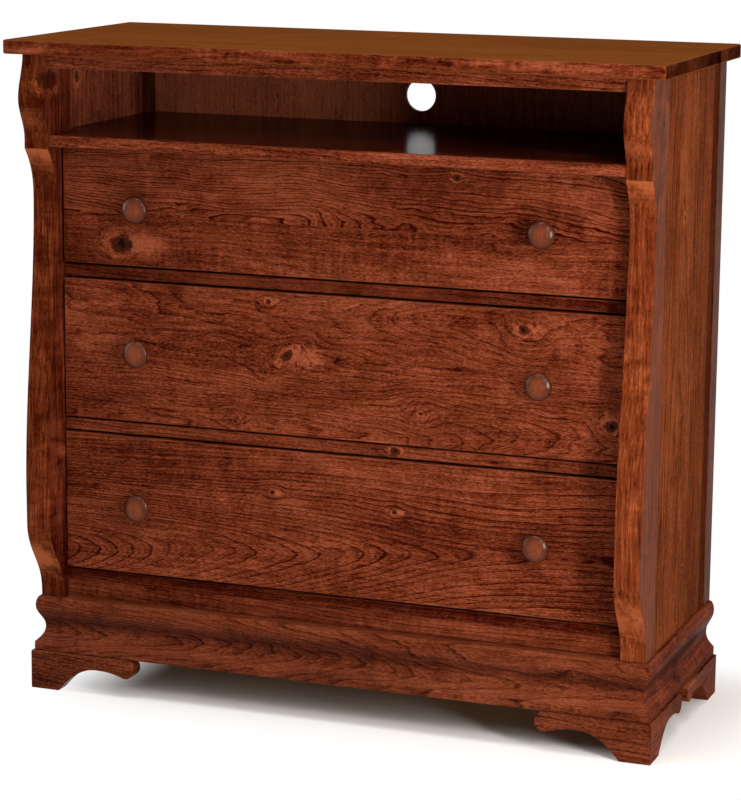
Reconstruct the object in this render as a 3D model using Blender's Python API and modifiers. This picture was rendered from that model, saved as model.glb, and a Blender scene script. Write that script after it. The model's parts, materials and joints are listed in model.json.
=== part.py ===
"""Media chest with sleigh-curved front posts, three drawers on side slides and an open media shelf.

Metres, +Z up, front towards -Y. The origin is on the floor, at the middle of the top panel's outline.
"""

import math

import bmesh
import bpy
from mathutils import Matrix, Vector
from mathutils.geometry import interpolate_bezier

# Clearances
FIT = 0.0003  # between pieces that touch
SLIDE_RUN = 0.0004  # between a slide's two channels
DRAWER_GAP = 0.004  # above and below each drawer front
DRAWER_SIDE_GAP = 0.0024  # between a drawer front and a post
CUT_PAST = 0.002  # how far a cutter runs past the face it opens

# Top panel
TOP_WIDTH = 1.100
TOP_DEPTH = 0.471
TOP_THICKNESS = 0.023
TOP_EDGE_ROUND = 0.003
TOP_SIDE_OVERHANG = 0.023

# Heights of the front, from the base moulding up
BOTTOM_RAIL_HEIGHT = 0.049
LOWER_DRAWER_HEIGHT = 0.232
MIDDLE_DRAWER_HEIGHT = 0.232
UPPER_DRAWER_HEIGHT = 0.190
DRAWER_RAIL_THICKNESS = 0.019
SHELF_THICKNESS = 0.019
CUBBY_HEIGHT = 0.109
TOP_RAIL_HEIGHT = 0.022

# Depths of the front, from the faces of the drawers
DRAWER_FACE_SETBACK = 0.076  # behind the top panel's front edge
RAIL_SETBACK = 0.006  # drawer rails behind the drawer faces
RAIL_DEPTH = 0.060
BOTTOM_RAIL_DEPTH = 0.019
SKIRT_SETBACK = 0.002  # the board under the bottom rail, behind the rail's face
SKIRT_STEP = 0.0005  # height of the slope between the two
TOP_RAIL_INSET = 0.0025  # behind the fronts of the posts
TOP_RAIL_DEPTH = 0.019
SHELF_INSET = 0.0015  # behind the ledges of the posts
SHELF_EDGE_ROUND = 0.002

# Front posts: how far each point of the curve stands ahead of the drawer faces
POST_WIDTH = 0.042
POST_BACK = 0.036  # behind the drawer faces
POST_ARRIS = 0.0018
POST_TOP_PROUD = 0.051
UPPER_BELLY_PROUD = 0.0685
LEDGE_PROUD = 0.048
HOLLOW_PROUD = 0.0193
LOWER_BELLY_PROUD = 0.0593
TOE_PROUD = 0.008
UPPER_BELLY_DROP = 0.072  # below the top panel
LEDGE_HEIGHT = 0.018
HOLLOW_DROP = 0.080  # below the ledge
HOLLOW_ENTRY = (0.016, 0.021)  # the curve's first pull, back and down, under the ledge
LOWER_BELLY_RISE = 0.200  # above the base moulding
SHOULDER_RISE = 0.138
SHOULDER_PROUD = 0.0585
TOE_RISE = 0.010
TOE_PULL = 0.42  # how upright the curve stays at the shoulder and the toe, as a share of its height
CURVE_STEPS = 9

# Side frames and back
PANEL_THICKNESS = 0.0202
PANEL_RECESS = 0.0018  # behind the outer faces of the posts
PANEL_TONGUE = 0.008  # thickness of the tongue along each upright edge
PANEL_TONGUE_SET = 0.006  # outside the panel's inner face
PANEL_GROOVE = 0.008
REAR_POST_WIDTH = 0.032
REAR_POST_DEPTH = 0.042
BACK_THICKNESS = 0.009
BACK_RABBET = 0.010
CABLE_HOLE_DIAMETER = 0.054
CABLE_HOLE_RISE = 0.048  # centre above the media shelf
CABLE_HOLE_SIDES = 32
TENON_LENGTH = 0.012
TENON_SHOULDER = 0.004

# Base moulding: how far each point of the profile stands outside the case
MOULDING_HEIGHT = 0.094
MOULDING_THICKNESS = 0.036
FILLET_PROUD = 0.0102
FILLET_HEIGHT = 0.014
COVE_PROUD = -0.004
COVE_RISE = 0.040
COVE_PULL = 0.4
BULLNOSE_PROUD = 0.0086
BULLNOSE_HEIGHT = 0.017
BULLNOSE_LIP = 0.001
MOULDING_STEPS = 6
REAR_RAIL_THICKNESS = 0.022

# Bracket feet
FOOT_HEIGHT = 0.066
FOOT_THICKNESS = 0.028
FOOT_LENGTH = 0.191  # along the front
SIDE_FOOT_GAP = 0.036  # between the two brackets of a side
FOOT_PROUD = 0.0045  # ahead of the moulding's fillet
FOOT_FLAT = 0.051
FOOT_SCROLL_RADIUS = 0.016
FOOT_CREST_HEIGHT = 0.043
FOOT_CREST_FROM_END = 0.072
FOOT_SCROLL_START = -110  # degrees, where the arch runs into the scroll
FOOT_RISE_PULL = (0.25, 0.50)  # shares of the arch's reach and height
FOOT_CREST_PULL = 0.40
FOOT_FALL_PULL = (0.35, 0.13)
FOOT_EDGE_ROUND = 0.0025
BACK_BRACKET_LENGTH = 0.110
BACK_BRACKET_THICKNESS = 0.022
FOOT_STEPS = 7

# Drawer boxes
FRONT_THICKNESS = 0.022
FRONT_LIP = 0.010  # thickness of the front's ends, which cover the slides
FRONT_EDGE_ROUND = 0.0015
SIDE_THICKNESS = 0.012
BOX_BACK_THICKNESS = 0.012
BOX_TOP_DROP = 0.022  # below the top edge of the drawer front
BOX_BOTTOM_RISE = 0.010  # above the bottom edge of the drawer front
BOX_BACK_CLEARANCE = 0.014  # ahead of the chest's back panel
BOTTOM_THICKNESS = 0.006
BOTTOM_RISE = 0.012  # groove above the lower edge of the box
BOTTOM_GROOVE = 0.006
TAIL_PITCH = 0.040
TAIL_SHARE = 0.52  # of the pitch, at the narrow end of a tail
TAIL_SLOPE = 1 / 6

# Drawer slides
SLIDE_SPACE = 0.0127  # between a drawer side and its post
SLIDE_HEIGHT = 0.0353
SLIDE_SHEET = 0.0012
SLIDE_FLANGE_GAP = 0.0019  # between a flange and the other channel's web
SLIDE_END_GAP = 0.002

# Knobs
KNOB_SPACING = 0.690
KNOB_DIAMETER = 0.045
KNOB_PROJECTION = 0.031
KNOB_DOME = 0.0055
KNOB_RIM = 0.007
KNOB_NECK_DIAMETER = 0.019
KNOB_BASE_DIAMETER = 0.024
KNOB_NECK_RISE = 0.008
KNOB_UNDERCUT = 0.004  # how far the underside flares before it meets the neck
KNOB_CROWN_PULL = (0.5, 0.6)  # shares of the radius and of the dome
KNOB_RIM_SHARE = 0.3  # of the rim, above its widest point
KNOB_CURVE_STEPS = 5
KNOB_STEPS = 20

# Levels and planes that several pieces share
FOOT_TOP = FOOT_HEIGHT
BASE_TOP = FOOT_TOP + MOULDING_HEIGHT
RAIL_PITCH = DRAWER_RAIL_THICKNESS + 2 * DRAWER_GAP
LOWER_DRAWER_BOTTOM = BASE_TOP + BOTTOM_RAIL_HEIGHT + DRAWER_GAP
MIDDLE_DRAWER_BOTTOM = LOWER_DRAWER_BOTTOM + LOWER_DRAWER_HEIGHT + RAIL_PITCH
UPPER_DRAWER_BOTTOM = MIDDLE_DRAWER_BOTTOM + MIDDLE_DRAWER_HEIGHT + RAIL_PITCH
LEDGE_LEVEL = UPPER_DRAWER_BOTTOM + UPPER_DRAWER_HEIGHT
SHELF_BOTTOM = LEDGE_LEVEL + DRAWER_GAP
SHELF_TOP = SHELF_BOTTOM + SHELF_THICKNESS
CASE_TOP = SHELF_TOP + CUBBY_HEIGHT + TOP_RAIL_HEIGHT
CASE_SIDE = TOP_WIDTH / 2 - TOP_SIDE_OVERHANG
OPENING_SIDE = CASE_SIDE - POST_WIDTH
PANEL_OUTER = CASE_SIDE - PANEL_RECESS
PANEL_INNER = PANEL_OUTER - PANEL_THICKNESS
TONGUE_INNER = PANEL_INNER + PANEL_TONGUE_SET
TONGUE_OUTER = TONGUE_INNER + PANEL_TONGUE
REAR_POST_INNER = CASE_SIDE - REAR_POST_WIDTH
BACK_Y = TOP_DEPTH / 2
BACK_PANEL_FRONT = BACK_Y - BACK_THICKNESS
REAR_POST_FRONT = BACK_Y - REAR_POST_DEPTH
DRAWER_Y = -TOP_DEPTH / 2 + DRAWER_FACE_SETBACK
POST_BACK_Y = DRAWER_Y + POST_BACK
TOE_Y = DRAWER_Y - TOE_PROUD
FRONT_BACK_Y = DRAWER_Y + FRONT_THICKNESS
BOX_SIDE = OPENING_SIDE - SLIDE_SPACE
BOX_INNER = BOX_SIDE - SIDE_THICKNESS
BOX_REAR = BACK_PANEL_FRONT - BOX_BACK_CLEARANCE
MITRE_GAP = FIT / math.sqrt(2)
WELD = 1e-6
FLAT_ANGLE = 1e-4

SIDES = (("left", -1), ("right", 1))
DRAWERS = (
    ("drawer_1", UPPER_DRAWER_BOTTOM, UPPER_DRAWER_HEIGHT),
    ("drawer_2", MIDDLE_DRAWER_BOTTOM, MIDDLE_DRAWER_HEIGHT),
    ("drawer_3", LOWER_DRAWER_BOTTOM, LOWER_DRAWER_HEIGHT),
)

# Where an outline's two axes and its thickness point, for each plane it can be drawn in
PLANES = {
    "XY": Matrix.Identity(4),
    "XZ": Matrix.Rotation(math.radians(90), 4, "X"),
    "YZ": Matrix(((0, 0, 1, 0), (1, 0, 0, 0), (0, 1, 0, 0), (0, 0, 0, 1))),
}


def clear_scene():
    for obj in list(bpy.data.objects):
        bpy.data.objects.remove(obj, do_unlink=True)


def make_collection(name):
    collection = bpy.data.collections.new(name)
    bpy.context.scene.collection.children.link(collection)
    return collection


def make_material(name, colour, roughness, metallic=0.0):
    material = bpy.data.materials.new(name)
    material.use_nodes = True
    shader = material.node_tree.nodes["Principled BSDF"]
    shader.inputs["Base Color"].default_value = (*colour, 1.0)
    shader.inputs["Roughness"].default_value = roughness
    shader.inputs["Metallic"].default_value = metallic
    return material


clear_scene()
CHEST = make_collection("media_chest")
CUTTERS = make_collection("cutters")
TOP_CHERRY = make_material("top_cherry", (0.19, 0.075, 0.025), 0.35)
FRAME_CHERRY = make_material("frame_cherry", (0.23, 0.065, 0.025), 0.38)
PANEL_CHERRY = make_material("panel_cherry", (0.16, 0.055, 0.022), 0.42)
FRONT_CHERRY = make_material("drawer_front_cherry", (0.21, 0.055, 0.022), 0.36)
BASE_CHERRY = make_material("base_cherry", (0.20, 0.055, 0.022), 0.38)
KNOB_CHERRY = make_material("knob_cherry", (0.15, 0.045, 0.022), 0.22)
BOX_MAPLE = make_material("drawer_box_maple", (0.55, 0.38, 0.22), 0.50)
PLYWOOD = make_material("birch_plywood", (0.50, 0.35, 0.20), 0.60)
ZINC_STEEL = make_material("zinc_steel", (0.55, 0.56, 0.58), 0.35, 1.0)


def add_object(name, mesh, location, material=None, parent=None):
    """A part of the chest, or a cutter if it has no material."""
    obj = bpy.data.objects.new(name, mesh)
    if parent:
        obj.parent = parent
        obj.location = Vector(location) - parent.location
    else:
        obj.location = location
    if material:
        mesh.materials.append(material)
        CHEST.objects.link(obj)
    else:
        obj.hide_render = True
        obj.display_type = "WIRE"
        CUTTERS.objects.link(obj)
    return obj


def box(name, low, high, material=None, parent=None):
    """A block between two corners, with its origin at its middle."""
    low, high = Vector(low), Vector(high)
    shape = bmesh.new()
    bmesh.ops.create_cube(shape, size=1.0)
    bmesh.ops.scale(shape, vec=high - low, verts=shape.verts)
    mesh = bpy.data.meshes.new(name)
    shape.to_mesh(mesh)
    shape.free()
    return add_object(name, mesh, (low + high) / 2, material, parent)


def extruded(name, outlines, plane, low, high, material=None, parent=None):
    """Closed outlines drawn in a plane and given a thickness from low to high along its normal."""
    curve = bpy.data.curves.new(name, "CURVE")
    curve.dimensions = "2D"
    curve.fill_mode = "BOTH"
    curve.extrude = (high - low) / 2
    for outline in outlines:
        spline = curve.splines.new("POLY")
        spline.points.add(len(outline) - 1)
        spline.use_cyclic_u = True
        for point, place in zip(spline.points, outline):
            point.co = (*place, 0.0, 1.0)
    guide = bpy.data.objects.new(name + "_outline", curve)
    bpy.context.scene.collection.objects.link(guide)
    graph = bpy.context.evaluated_depsgraph_get()
    mesh = bpy.data.meshes.new_from_object(guide.evaluated_get(graph))
    bpy.data.objects.remove(guide, do_unlink=True)
    bpy.data.curves.remove(curve)
    mesh.transform(PLANES[plane])
    shape = bmesh.new()
    shape.from_mesh(mesh)
    bmesh.ops.remove_doubles(shape, verts=shape.verts, dist=WELD)
    bmesh.ops.dissolve_limit(shape, angle_limit=FLAT_ANGLE, verts=shape.verts, edges=shape.edges)
    bmesh.ops.recalc_face_normals(shape, faces=shape.faces)
    shape.to_mesh(mesh)
    shape.free()
    mesh.name = name
    normal = PLANES[plane].to_3x3() @ Vector((0, 0, 1))
    middle = Vector(abs(part) * (low + high) / 2 for part in normal)
    return add_object(name, mesh, middle, material, parent)


def round_edges(obj, radius, segments, chosen):
    """Bevels the edges whose two ends pass the test."""
    shape = bmesh.new()
    shape.from_mesh(obj.data)
    edges = [edge for edge in shape.edges if chosen(edge.verts[0].co, edge.verts[1].co)]
    bmesh.ops.bevel(
        shape, geom=edges, offset=radius, segments=segments, profile=0.5, affect="EDGES", clamp_overlap=True
    )
    shape.to_mesh(obj.data)
    shape.free()


def slide_end(obj, axis, at_end, moved):
    """Moves the points of one end along an axis, so that the end is cut at an angle."""
    for vertex in obj.data.vertices:
        if at_end(vertex.co):
            vertex.co[axis] = moved(vertex.co)


def cut(obj, cutter):
    modifier = obj.modifiers.new(cutter.name, "BOOLEAN")
    modifier.operation = "DIFFERENCE"
    modifier.solver = "EXACT"
    modifier.object = cutter


def near(a, b):
    return abs(a - b) < WELD


def level_edges(axis, value, level=None):
    """A test for level edges in the plane where an axis has a value, at any height or at one."""

    def chosen(a, b):
        in_plane = near(a[axis], value) and near(b[axis], value) and near(a.z, b.z)
        return in_plane and (level is None or near(a.z, level))

    return chosen


def bezier(start, pull_start, pull_end, end, steps):
    """Points from start to end, leaving out the start."""
    places = (Vector((*place, 0.0)) for place in (start, pull_start, pull_end, end))
    return [(point.x, point.y) for point in interpolate_bezier(*places, steps + 1)[1:]]


def s_curve(start, end, steps, pull=1 / 3):
    """A curve that is upright at both ends, leaving out its start."""
    rise = (end[1] - start[1]) * pull
    return bezier(start, (start[0], start[1] + rise), (end[0], end[1] - rise), end, steps)


def arc(centre, radius_across, radius_up, first, last, steps):
    """Points of an ellipse between two angles in degrees, with both ends."""
    points = []
    for step in range(steps + 1):
        angle = math.radians(first + (last - first) * step / steps)
        points.append((centre[0] + radius_across * math.cos(angle), centre[1] + radius_up * math.sin(angle)))
    return points


def make_top_panel():
    low = (-TOP_WIDTH / 2, -TOP_DEPTH / 2, CASE_TOP)
    top = box("top_panel", low, (TOP_WIDTH / 2, TOP_DEPTH / 2, CASE_TOP + TOP_THICKNESS), TOP_CHERRY)
    round_edges(top, TOP_EDGE_ROUND, 2, lambda a, b: True)


def post_outline():
    """Side view of a front post: down the curved front, then up the straight back."""
    bottom, top = BASE_TOP + FIT, CASE_TOP - FIT
    start = (DRAWER_Y - POST_TOP_PROUD, top)
    upper_belly = (DRAWER_Y - UPPER_BELLY_PROUD, CASE_TOP - UPPER_BELLY_DROP)
    ledge_y = DRAWER_Y - LEDGE_PROUD
    ledge_top = (ledge_y, LEDGE_LEVEL + LEDGE_HEIGHT)
    ledge = (ledge_y, LEDGE_LEVEL)
    hollow = (DRAWER_Y - HOLLOW_PROUD, LEDGE_LEVEL - HOLLOW_DROP)
    belly = (DRAWER_Y - LOWER_BELLY_PROUD, BASE_TOP + LOWER_BELLY_RISE)
    shoulder = (DRAWER_Y - SHOULDER_PROUD, BASE_TOP + SHOULDER_RISE)
    toe = (TOE_Y, BASE_TOP + TOE_RISE)
    points = [start]
    points += s_curve(start, upper_belly, CURVE_STEPS)
    points += s_curve(upper_belly, ledge_top, CURVE_STEPS)
    points.append(ledge)
    entry = (ledge[0] + HOLLOW_ENTRY[0], ledge[1] - HOLLOW_ENTRY[1])
    points += bezier(ledge, entry, (hollow[0], hollow[1] + HOLLOW_DROP / 2), hollow, CURVE_STEPS)
    points += s_curve(hollow, belly, 2 * CURVE_STEPS)
    points += s_curve(belly, shoulder, 2)
    points += s_curve(shoulder, toe, 2 * CURVE_STEPS, TOE_PULL)
    points += [(TOE_Y, bottom), (POST_BACK_Y, bottom), (POST_BACK_Y, top)]
    return points


def tenon_front(rail_front):
    return rail_front + TENON_SHOULDER


def tenon_back(rail_back):
    return min(rail_back, POST_BACK_Y) - TENON_SHOULDER


def rails():
    """Name, front, back, bottom and top of each rail that is tenoned into the front posts."""
    rail_front = DRAWER_Y + RAIL_SETBACK
    upper = UPPER_DRAWER_BOTTOM - DRAWER_GAP - DRAWER_RAIL_THICKNESS
    lower = MIDDLE_DRAWER_BOTTOM - DRAWER_GAP - DRAWER_RAIL_THICKNESS
    top_front = DRAWER_Y - POST_TOP_PROUD + TOP_RAIL_INSET
    bottom_back = rail_front + BOTTOM_RAIL_DEPTH
    return (
        ("top_rail", top_front, top_front + TOP_RAIL_DEPTH, CASE_TOP - TOP_RAIL_HEIGHT, CASE_TOP - FIT),
        ("upper_drawer_rail", rail_front, rail_front + RAIL_DEPTH, upper, upper + DRAWER_RAIL_THICKNESS),
        ("lower_drawer_rail", rail_front, rail_front + RAIL_DEPTH, lower, lower + DRAWER_RAIL_THICKNESS),
        ("bottom_rail", rail_front, bottom_back, BASE_TOP + FIT, BASE_TOP + BOTTOM_RAIL_HEIGHT),
    )


def set_skirt_back(rail, front, level):
    """Moves the lower part of a rail's front back, below a short slope that starts at a level of its mesh."""
    shape = bmesh.new()
    shape.from_mesh(rail.data)
    for height in (level, level - SKIRT_STEP):
        everything = shape.verts[:] + shape.edges[:] + shape.faces[:]
        bmesh.ops.bisect_plane(shape, geom=everything, plane_co=(0, 0, height), plane_no=(0, 0, 1))
    for vertex in shape.verts:
        if vertex.co.z < level - WELD and vertex.co.y < front + FRONT_EDGE_ROUND + WELD:
            vertex.co.y += SKIRT_SETBACK
    shape.to_mesh(rail.data)
    shape.free()


def make_rails():
    """Each rail is drawn in plan, with a stub tenon at each end. The bottom one has a skirt board under it."""
    body = OPENING_SIDE - FIT
    tip = OPENING_SIDE + TENON_LENGTH
    for name, front, back, bottom, top in rails():
        half = [(body, front), (body, tenon_front(front)), (tip, tenon_front(front))]
        half += [(tip, tenon_back(back)), (body, tenon_back(back)), (body, back)]
        outline = half + [(-x, y) for x, y in reversed(half)]
        rail = extruded(name, [outline], "XY", bottom, top, FRAME_CHERRY)
        round_edges(rail, FRONT_EDGE_ROUND, 1, level_edges(1, front))
        if name == "bottom_rail":
            set_skirt_back(rail, front, top - DRAWER_RAIL_THICKNESS - rail.location.z)


def make_front_posts():
    for side_name, side in SIDES:
        name = side_name + "_front_post"
        low, high = sorted((side * OPENING_SIDE, side * CASE_SIDE))
        post = extruded(name, [post_outline()], "YZ", low, high, FRAME_CHERRY)
        round_edges(
            post,
            POST_ARRIS,
            2,
            lambda a, b: near(a.x, b.x) and max(a.y, b.y) <= TOE_Y + WELD and not near(a.z, b.z),
        )
        for rail_name, front, back, bottom, top in rails():
            tip = side * (OPENING_SIDE + TENON_LENGTH + FIT)
            left, right = sorted((side * (OPENING_SIDE - CUT_PAST), tip))
            mortise_low = (left, tenon_front(front) - FIT, bottom - FIT)
            mortise_high = (right, tenon_back(back) + FIT, top + FIT)
            cut(post, box(f"{name}_mortise_{rail_name}", mortise_low, mortise_high))
        left, right = sorted((side * (TONGUE_INNER - FIT), side * (TONGUE_OUTER + FIT)))
        groove_low = (left, POST_BACK_Y - PANEL_GROOVE - FIT, BASE_TOP - CUT_PAST)
        groove_high = (right, POST_BACK_Y + CUT_PAST, CASE_TOP + CUT_PAST)
        cut(post, box(f"{name}_panel_groove", groove_low, groove_high))


def make_rear_posts():
    """Drawn in plan, with the side panel's groove in front and the back panel's rabbet behind."""
    groove_end = REAR_POST_FRONT + PANEL_GROOVE + FIT
    rabbet = REAR_POST_INNER + BACK_RABBET
    rabbet_y = BACK_PANEL_FRONT - FIT
    half = [(REAR_POST_INNER, REAR_POST_FRONT), (TONGUE_INNER - FIT, REAR_POST_FRONT)]
    half += [(TONGUE_INNER - FIT, groove_end), (TONGUE_OUTER + FIT, groove_end)]
    half += [(TONGUE_OUTER + FIT, REAR_POST_FRONT), (CASE_SIDE, REAR_POST_FRONT), (CASE_SIDE, BACK_Y)]
    half += [(rabbet, BACK_Y), (rabbet, rabbet_y), (REAR_POST_INNER, rabbet_y)]
    for side_name, side in SIDES:
        outline = [(side * x, y) for x, y in half]
        extruded(side_name + "_rear_post", [outline], "XY", BASE_TOP + FIT, CASE_TOP - FIT, FRAME_CHERRY)


def make_side_panels():
    """Drawn in plan: a solid side, nearly flush with the posts, with a tongue along each upright edge."""
    front, back = POST_BACK_Y + FIT, REAR_POST_FRONT - FIT
    tongue_front, tongue_back = POST_BACK_Y - PANEL_GROOVE, REAR_POST_FRONT + PANEL_GROOVE
    half = [(PANEL_INNER, front), (TONGUE_INNER, front), (TONGUE_INNER, tongue_front)]
    half += [(TONGUE_OUTER, tongue_front), (TONGUE_OUTER, front), (PANEL_OUTER, front)]
    half += [(PANEL_OUTER, back), (TONGUE_OUTER, back), (TONGUE_OUTER, tongue_back)]
    half += [(TONGUE_INNER, tongue_back), (TONGUE_INNER, back), (PANEL_INNER, back)]
    for side_name, side in SIDES:
        outline = [(side * x, y) for x, y in half]
        extruded(side_name + "_side_panel", [outline], "XY", BASE_TOP + FIT, CASE_TOP - FIT, PANEL_CHERRY)


def make_slide_backers():
    for side_name, side in SIDES:
        left, right = sorted((side * OPENING_SIDE, side * (PANEL_INNER - FIT)))
        low = (left, POST_BACK_Y + FIT, BASE_TOP + FIT)
        box(side_name + "_slide_backer", low, (right, REAR_POST_FRONT - FIT, SHELF_BOTTOM - FIT), PLYWOOD)


def make_media_shelf():
    """Drawn in plan, notched round the posts."""
    front, back = DRAWER_Y - LEDGE_PROUD + SHELF_INSET, BACK_PANEL_FRONT - FIT
    half = [(OPENING_SIDE - FIT, front), (OPENING_SIDE - FIT, POST_BACK_Y + FIT)]
    half += [(PANEL_INNER - FIT, POST_BACK_Y + FIT), (PANEL_INNER - FIT, REAR_POST_FRONT - FIT)]
    half += [(REAR_POST_INNER - FIT, REAR_POST_FRONT - FIT), (REAR_POST_INNER - FIT, back)]
    outline = half + [(-x, y) for x, y in reversed(half)]
    shelf = extruded("media_shelf", [outline], "XY", SHELF_BOTTOM, SHELF_TOP, FRAME_CHERRY)
    round_edges(shelf, SHELF_EDGE_ROUND, 2, level_edges(1, front))


def make_back_panel():
    side = REAR_POST_INNER + BACK_RABBET - FIT
    low = (-side, BACK_PANEL_FRONT, BASE_TOP + FIT)
    panel = box("back_panel", low, (side, BACK_Y, CASE_TOP - FIT), PANEL_CHERRY)
    shape = bmesh.new()
    bmesh.ops.create_cone(
        shape,
        cap_ends=True,
        segments=CABLE_HOLE_SIDES,
        radius1=CABLE_HOLE_DIAMETER / 2,
        radius2=CABLE_HOLE_DIAMETER / 2,
        depth=BACK_THICKNESS + 2 * CUT_PAST,
    )
    mesh = bpy.data.meshes.new("cable_hole")
    shape.to_mesh(mesh)
    shape.free()
    middle = (0, BACK_Y - BACK_THICKNESS / 2, SHELF_TOP + CABLE_HOLE_RISE)
    hole = add_object("cable_hole", mesh, middle)
    hole.rotation_euler = (math.radians(90), 0, 0)
    cut(panel, hole)


def moulding_profile():
    """Distance outside the case and height, from the fillet's foot up the outside and down the inside."""
    bullnose = (BULLNOSE_PROUD, BASE_TOP - BULLNOSE_HEIGHT)
    cove = (COVE_PROUD, FOOT_TOP + COVE_RISE)
    fillet = (FILLET_PROUD, FOOT_TOP + FILLET_HEIGHT)
    slope = (FILLET_PROUD - COVE_PROUD) / 2
    inside = FILLET_PROUD - MOULDING_THICKNESS
    points = [(FILLET_PROUD, FOOT_TOP + FIT), fillet]
    cove_pull = (cove[0], cove[1] - (cove[1] - fillet[1]) / 2)
    points += bezier(fillet, (fillet[0] - slope, fillet[1] + slope), cove_pull, cove, MOULDING_STEPS)
    points += s_curve(cove, bullnose, MOULDING_STEPS, COVE_PULL)
    lip = (BULLNOSE_LIP, bullnose[1])
    points += arc(lip, BULLNOSE_PROUD - BULLNOSE_LIP, BULLNOSE_HEIGHT, 0, 90, MOULDING_STEPS)[1:]
    points += [(inside, BASE_TOP), (inside, FOOT_TOP + FIT)]
    return points


def make_base_moulding():
    corner_x = CASE_SIDE + FILLET_PROUD
    corner_y = TOE_Y - FILLET_PROUD
    outline = [(TOE_Y - out, up) for out, up in moulding_profile()]
    front = extruded("front_base_moulding", [outline], "YZ", -corner_x, corner_x, BASE_CHERRY)
    for _, side in SIDES:
        slide_end(
            front,
            0,
            lambda co: near(co.x, side * corner_x),
            lambda co: side * (corner_x - (co.y - corner_y) - MITRE_GAP),
        )
    for side_name, side in SIDES:
        outline = [(side * (CASE_SIDE + out), up) for out, up in moulding_profile()]
        name = side_name + "_base_moulding"
        length = BACK_Y - corner_y
        moulding = extruded(name, [outline], "XZ", corner_y, BACK_Y, BASE_CHERRY)
        slide_end(
            moulding,
            1,
            lambda co: near(co.y, -length / 2),
            lambda co: -length / 2 + corner_x - abs(co.x) + MITRE_GAP,
        )
    inside = CASE_SIDE + FILLET_PROUD - MOULDING_THICKNESS - FIT
    low = (-inside, BACK_Y - REAR_RAIL_THICKNESS, FOOT_TOP + FIT)
    box("rear_base_rail", low, (inside, BACK_Y, BASE_TOP), BASE_CHERRY)


def foot_outline(length):
    """Distance from the corner and height of a scrolled bracket."""
    radius = FOOT_SCROLL_RADIUS
    centre = (length - radius, FOOT_HEIGHT - radius)
    scroll = arc(centre, radius, radius, FOOT_SCROLL_START, 90, 2 * FOOT_STEPS)
    crest = (length - FOOT_CREST_FROM_END, FOOT_CREST_HEIGHT)
    flat_end = (FOOT_FLAT, 0.0)
    reach = crest[0] - flat_end[0]
    points = [(0.0, 0.0), flat_end]
    rising = (flat_end[0] + reach * FOOT_RISE_PULL[0], crest[1] * FOOT_RISE_PULL[1])
    points += bezier(flat_end, rising, (crest[0] - reach * FOOT_CREST_PULL, crest[1]), crest, FOOT_STEPS)
    reach = scroll[0][0] - crest[0]
    falling = (scroll[0][0] - reach * FOOT_FALL_PULL[0], scroll[0][1] + reach * FOOT_FALL_PULL[1])
    points += bezier(crest, (crest[0] + reach * FOOT_CREST_PULL, crest[1]), falling, scroll[0], FOOT_STEPS)
    return points + scroll[1:] + [(0.0, FOOT_HEIGHT)]


def make_feet():
    corner_x = CASE_SIDE + FILLET_PROUD + FOOT_PROUD
    corner_y = TOE_Y - FILLET_PROUD - FOOT_PROUD
    side_length = (BACK_Y - corner_y - SIDE_FOOT_GAP) / 2
    inner_x = corner_x - FOOT_THICKNESS
    inner_y = corner_y + FOOT_THICKNESS
    for side_name, side in SIDES:
        outline = [(side * (corner_x - along), up) for along, up in foot_outline(FOOT_LENGTH)]
        name = f"front_{side_name}_foot_front"
        foot = extruded(name, [outline], "XZ", corner_y, inner_y, BASE_CHERRY)
        outer = -FOOT_THICKNESS / 2
        round_edges(foot, FOOT_EDGE_ROUND, 2, level_edges(1, outer, FOOT_HEIGHT))
        slide_end(
            foot,
            0,
            lambda co: near(co.x, side * corner_x),
            lambda co: side * (corner_x - (co.y - outer) - MITRE_GAP),
        )
        low, high = sorted((side * inner_x, side * corner_x))
        outer = side * FOOT_THICKNESS / 2
        outline = [(corner_y + along, up) for along, up in foot_outline(side_length)]
        foot = extruded(f"front_{side_name}_foot_side", [outline], "YZ", low, high, BASE_CHERRY)
        top_edge = level_edges(0, outer, FOOT_HEIGHT)
        round_edges(foot, FOOT_EDGE_ROUND, 2, top_edge)
        slide_end(
            foot,
            1,
            lambda co: near(co.y, corner_y),
            lambda co: corner_y + abs(outer - co.x) + MITRE_GAP,
        )
        outline = [(BACK_Y - along, up) for along, up in foot_outline(side_length)]
        foot = extruded(f"rear_{side_name}_foot_side", [outline], "YZ", low, high, BASE_CHERRY)
        round_edges(foot, FOOT_EDGE_ROUND, 2, top_edge)
        start = inner_x - FIT
        outline = [(start, 0.0), (start - FOOT_FLAT, 0.0), (start - BACK_BRACKET_LENGTH, FOOT_CREST_HEIGHT)]
        outline += [(start - BACK_BRACKET_LENGTH, FOOT_HEIGHT), (start, FOOT_HEIGHT)]
        outline = [(side * along, up) for along, up in outline]
        name = f"rear_{side_name}_foot_back"
        extruded(name, [outline], "XZ", BACK_Y - BACK_BRACKET_THICKNESS, BACK_Y, BASE_CHERRY)


def tails(bottom, top):
    """Middle height and narrow half width of each dovetail along a joint."""
    count = max(2, round((top - bottom) / TAIL_PITCH))
    pitch = (top - bottom) / count
    return [(bottom + pitch * (place + 0.5), pitch * TAIL_SHARE / 2) for place in range(count)]


def tail_outline(middle, half, root, tip, grow=0.0, past=0.0):
    """One dovetail from its narrow root to its wide tip, or with grow and past the socket that takes it."""
    way = 1 if tip > root else -1
    root_half = half + grow - past * TAIL_SLOPE
    tip_half = half + grow + (abs(tip - root) + grow) * TAIL_SLOPE
    root, tip = root - way * past, tip + way * grow
    lower = [(root, middle - root_half), (tip, middle - tip_half)]
    return lower + [(tip, middle + tip_half), (root, middle + root_half)]


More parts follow.
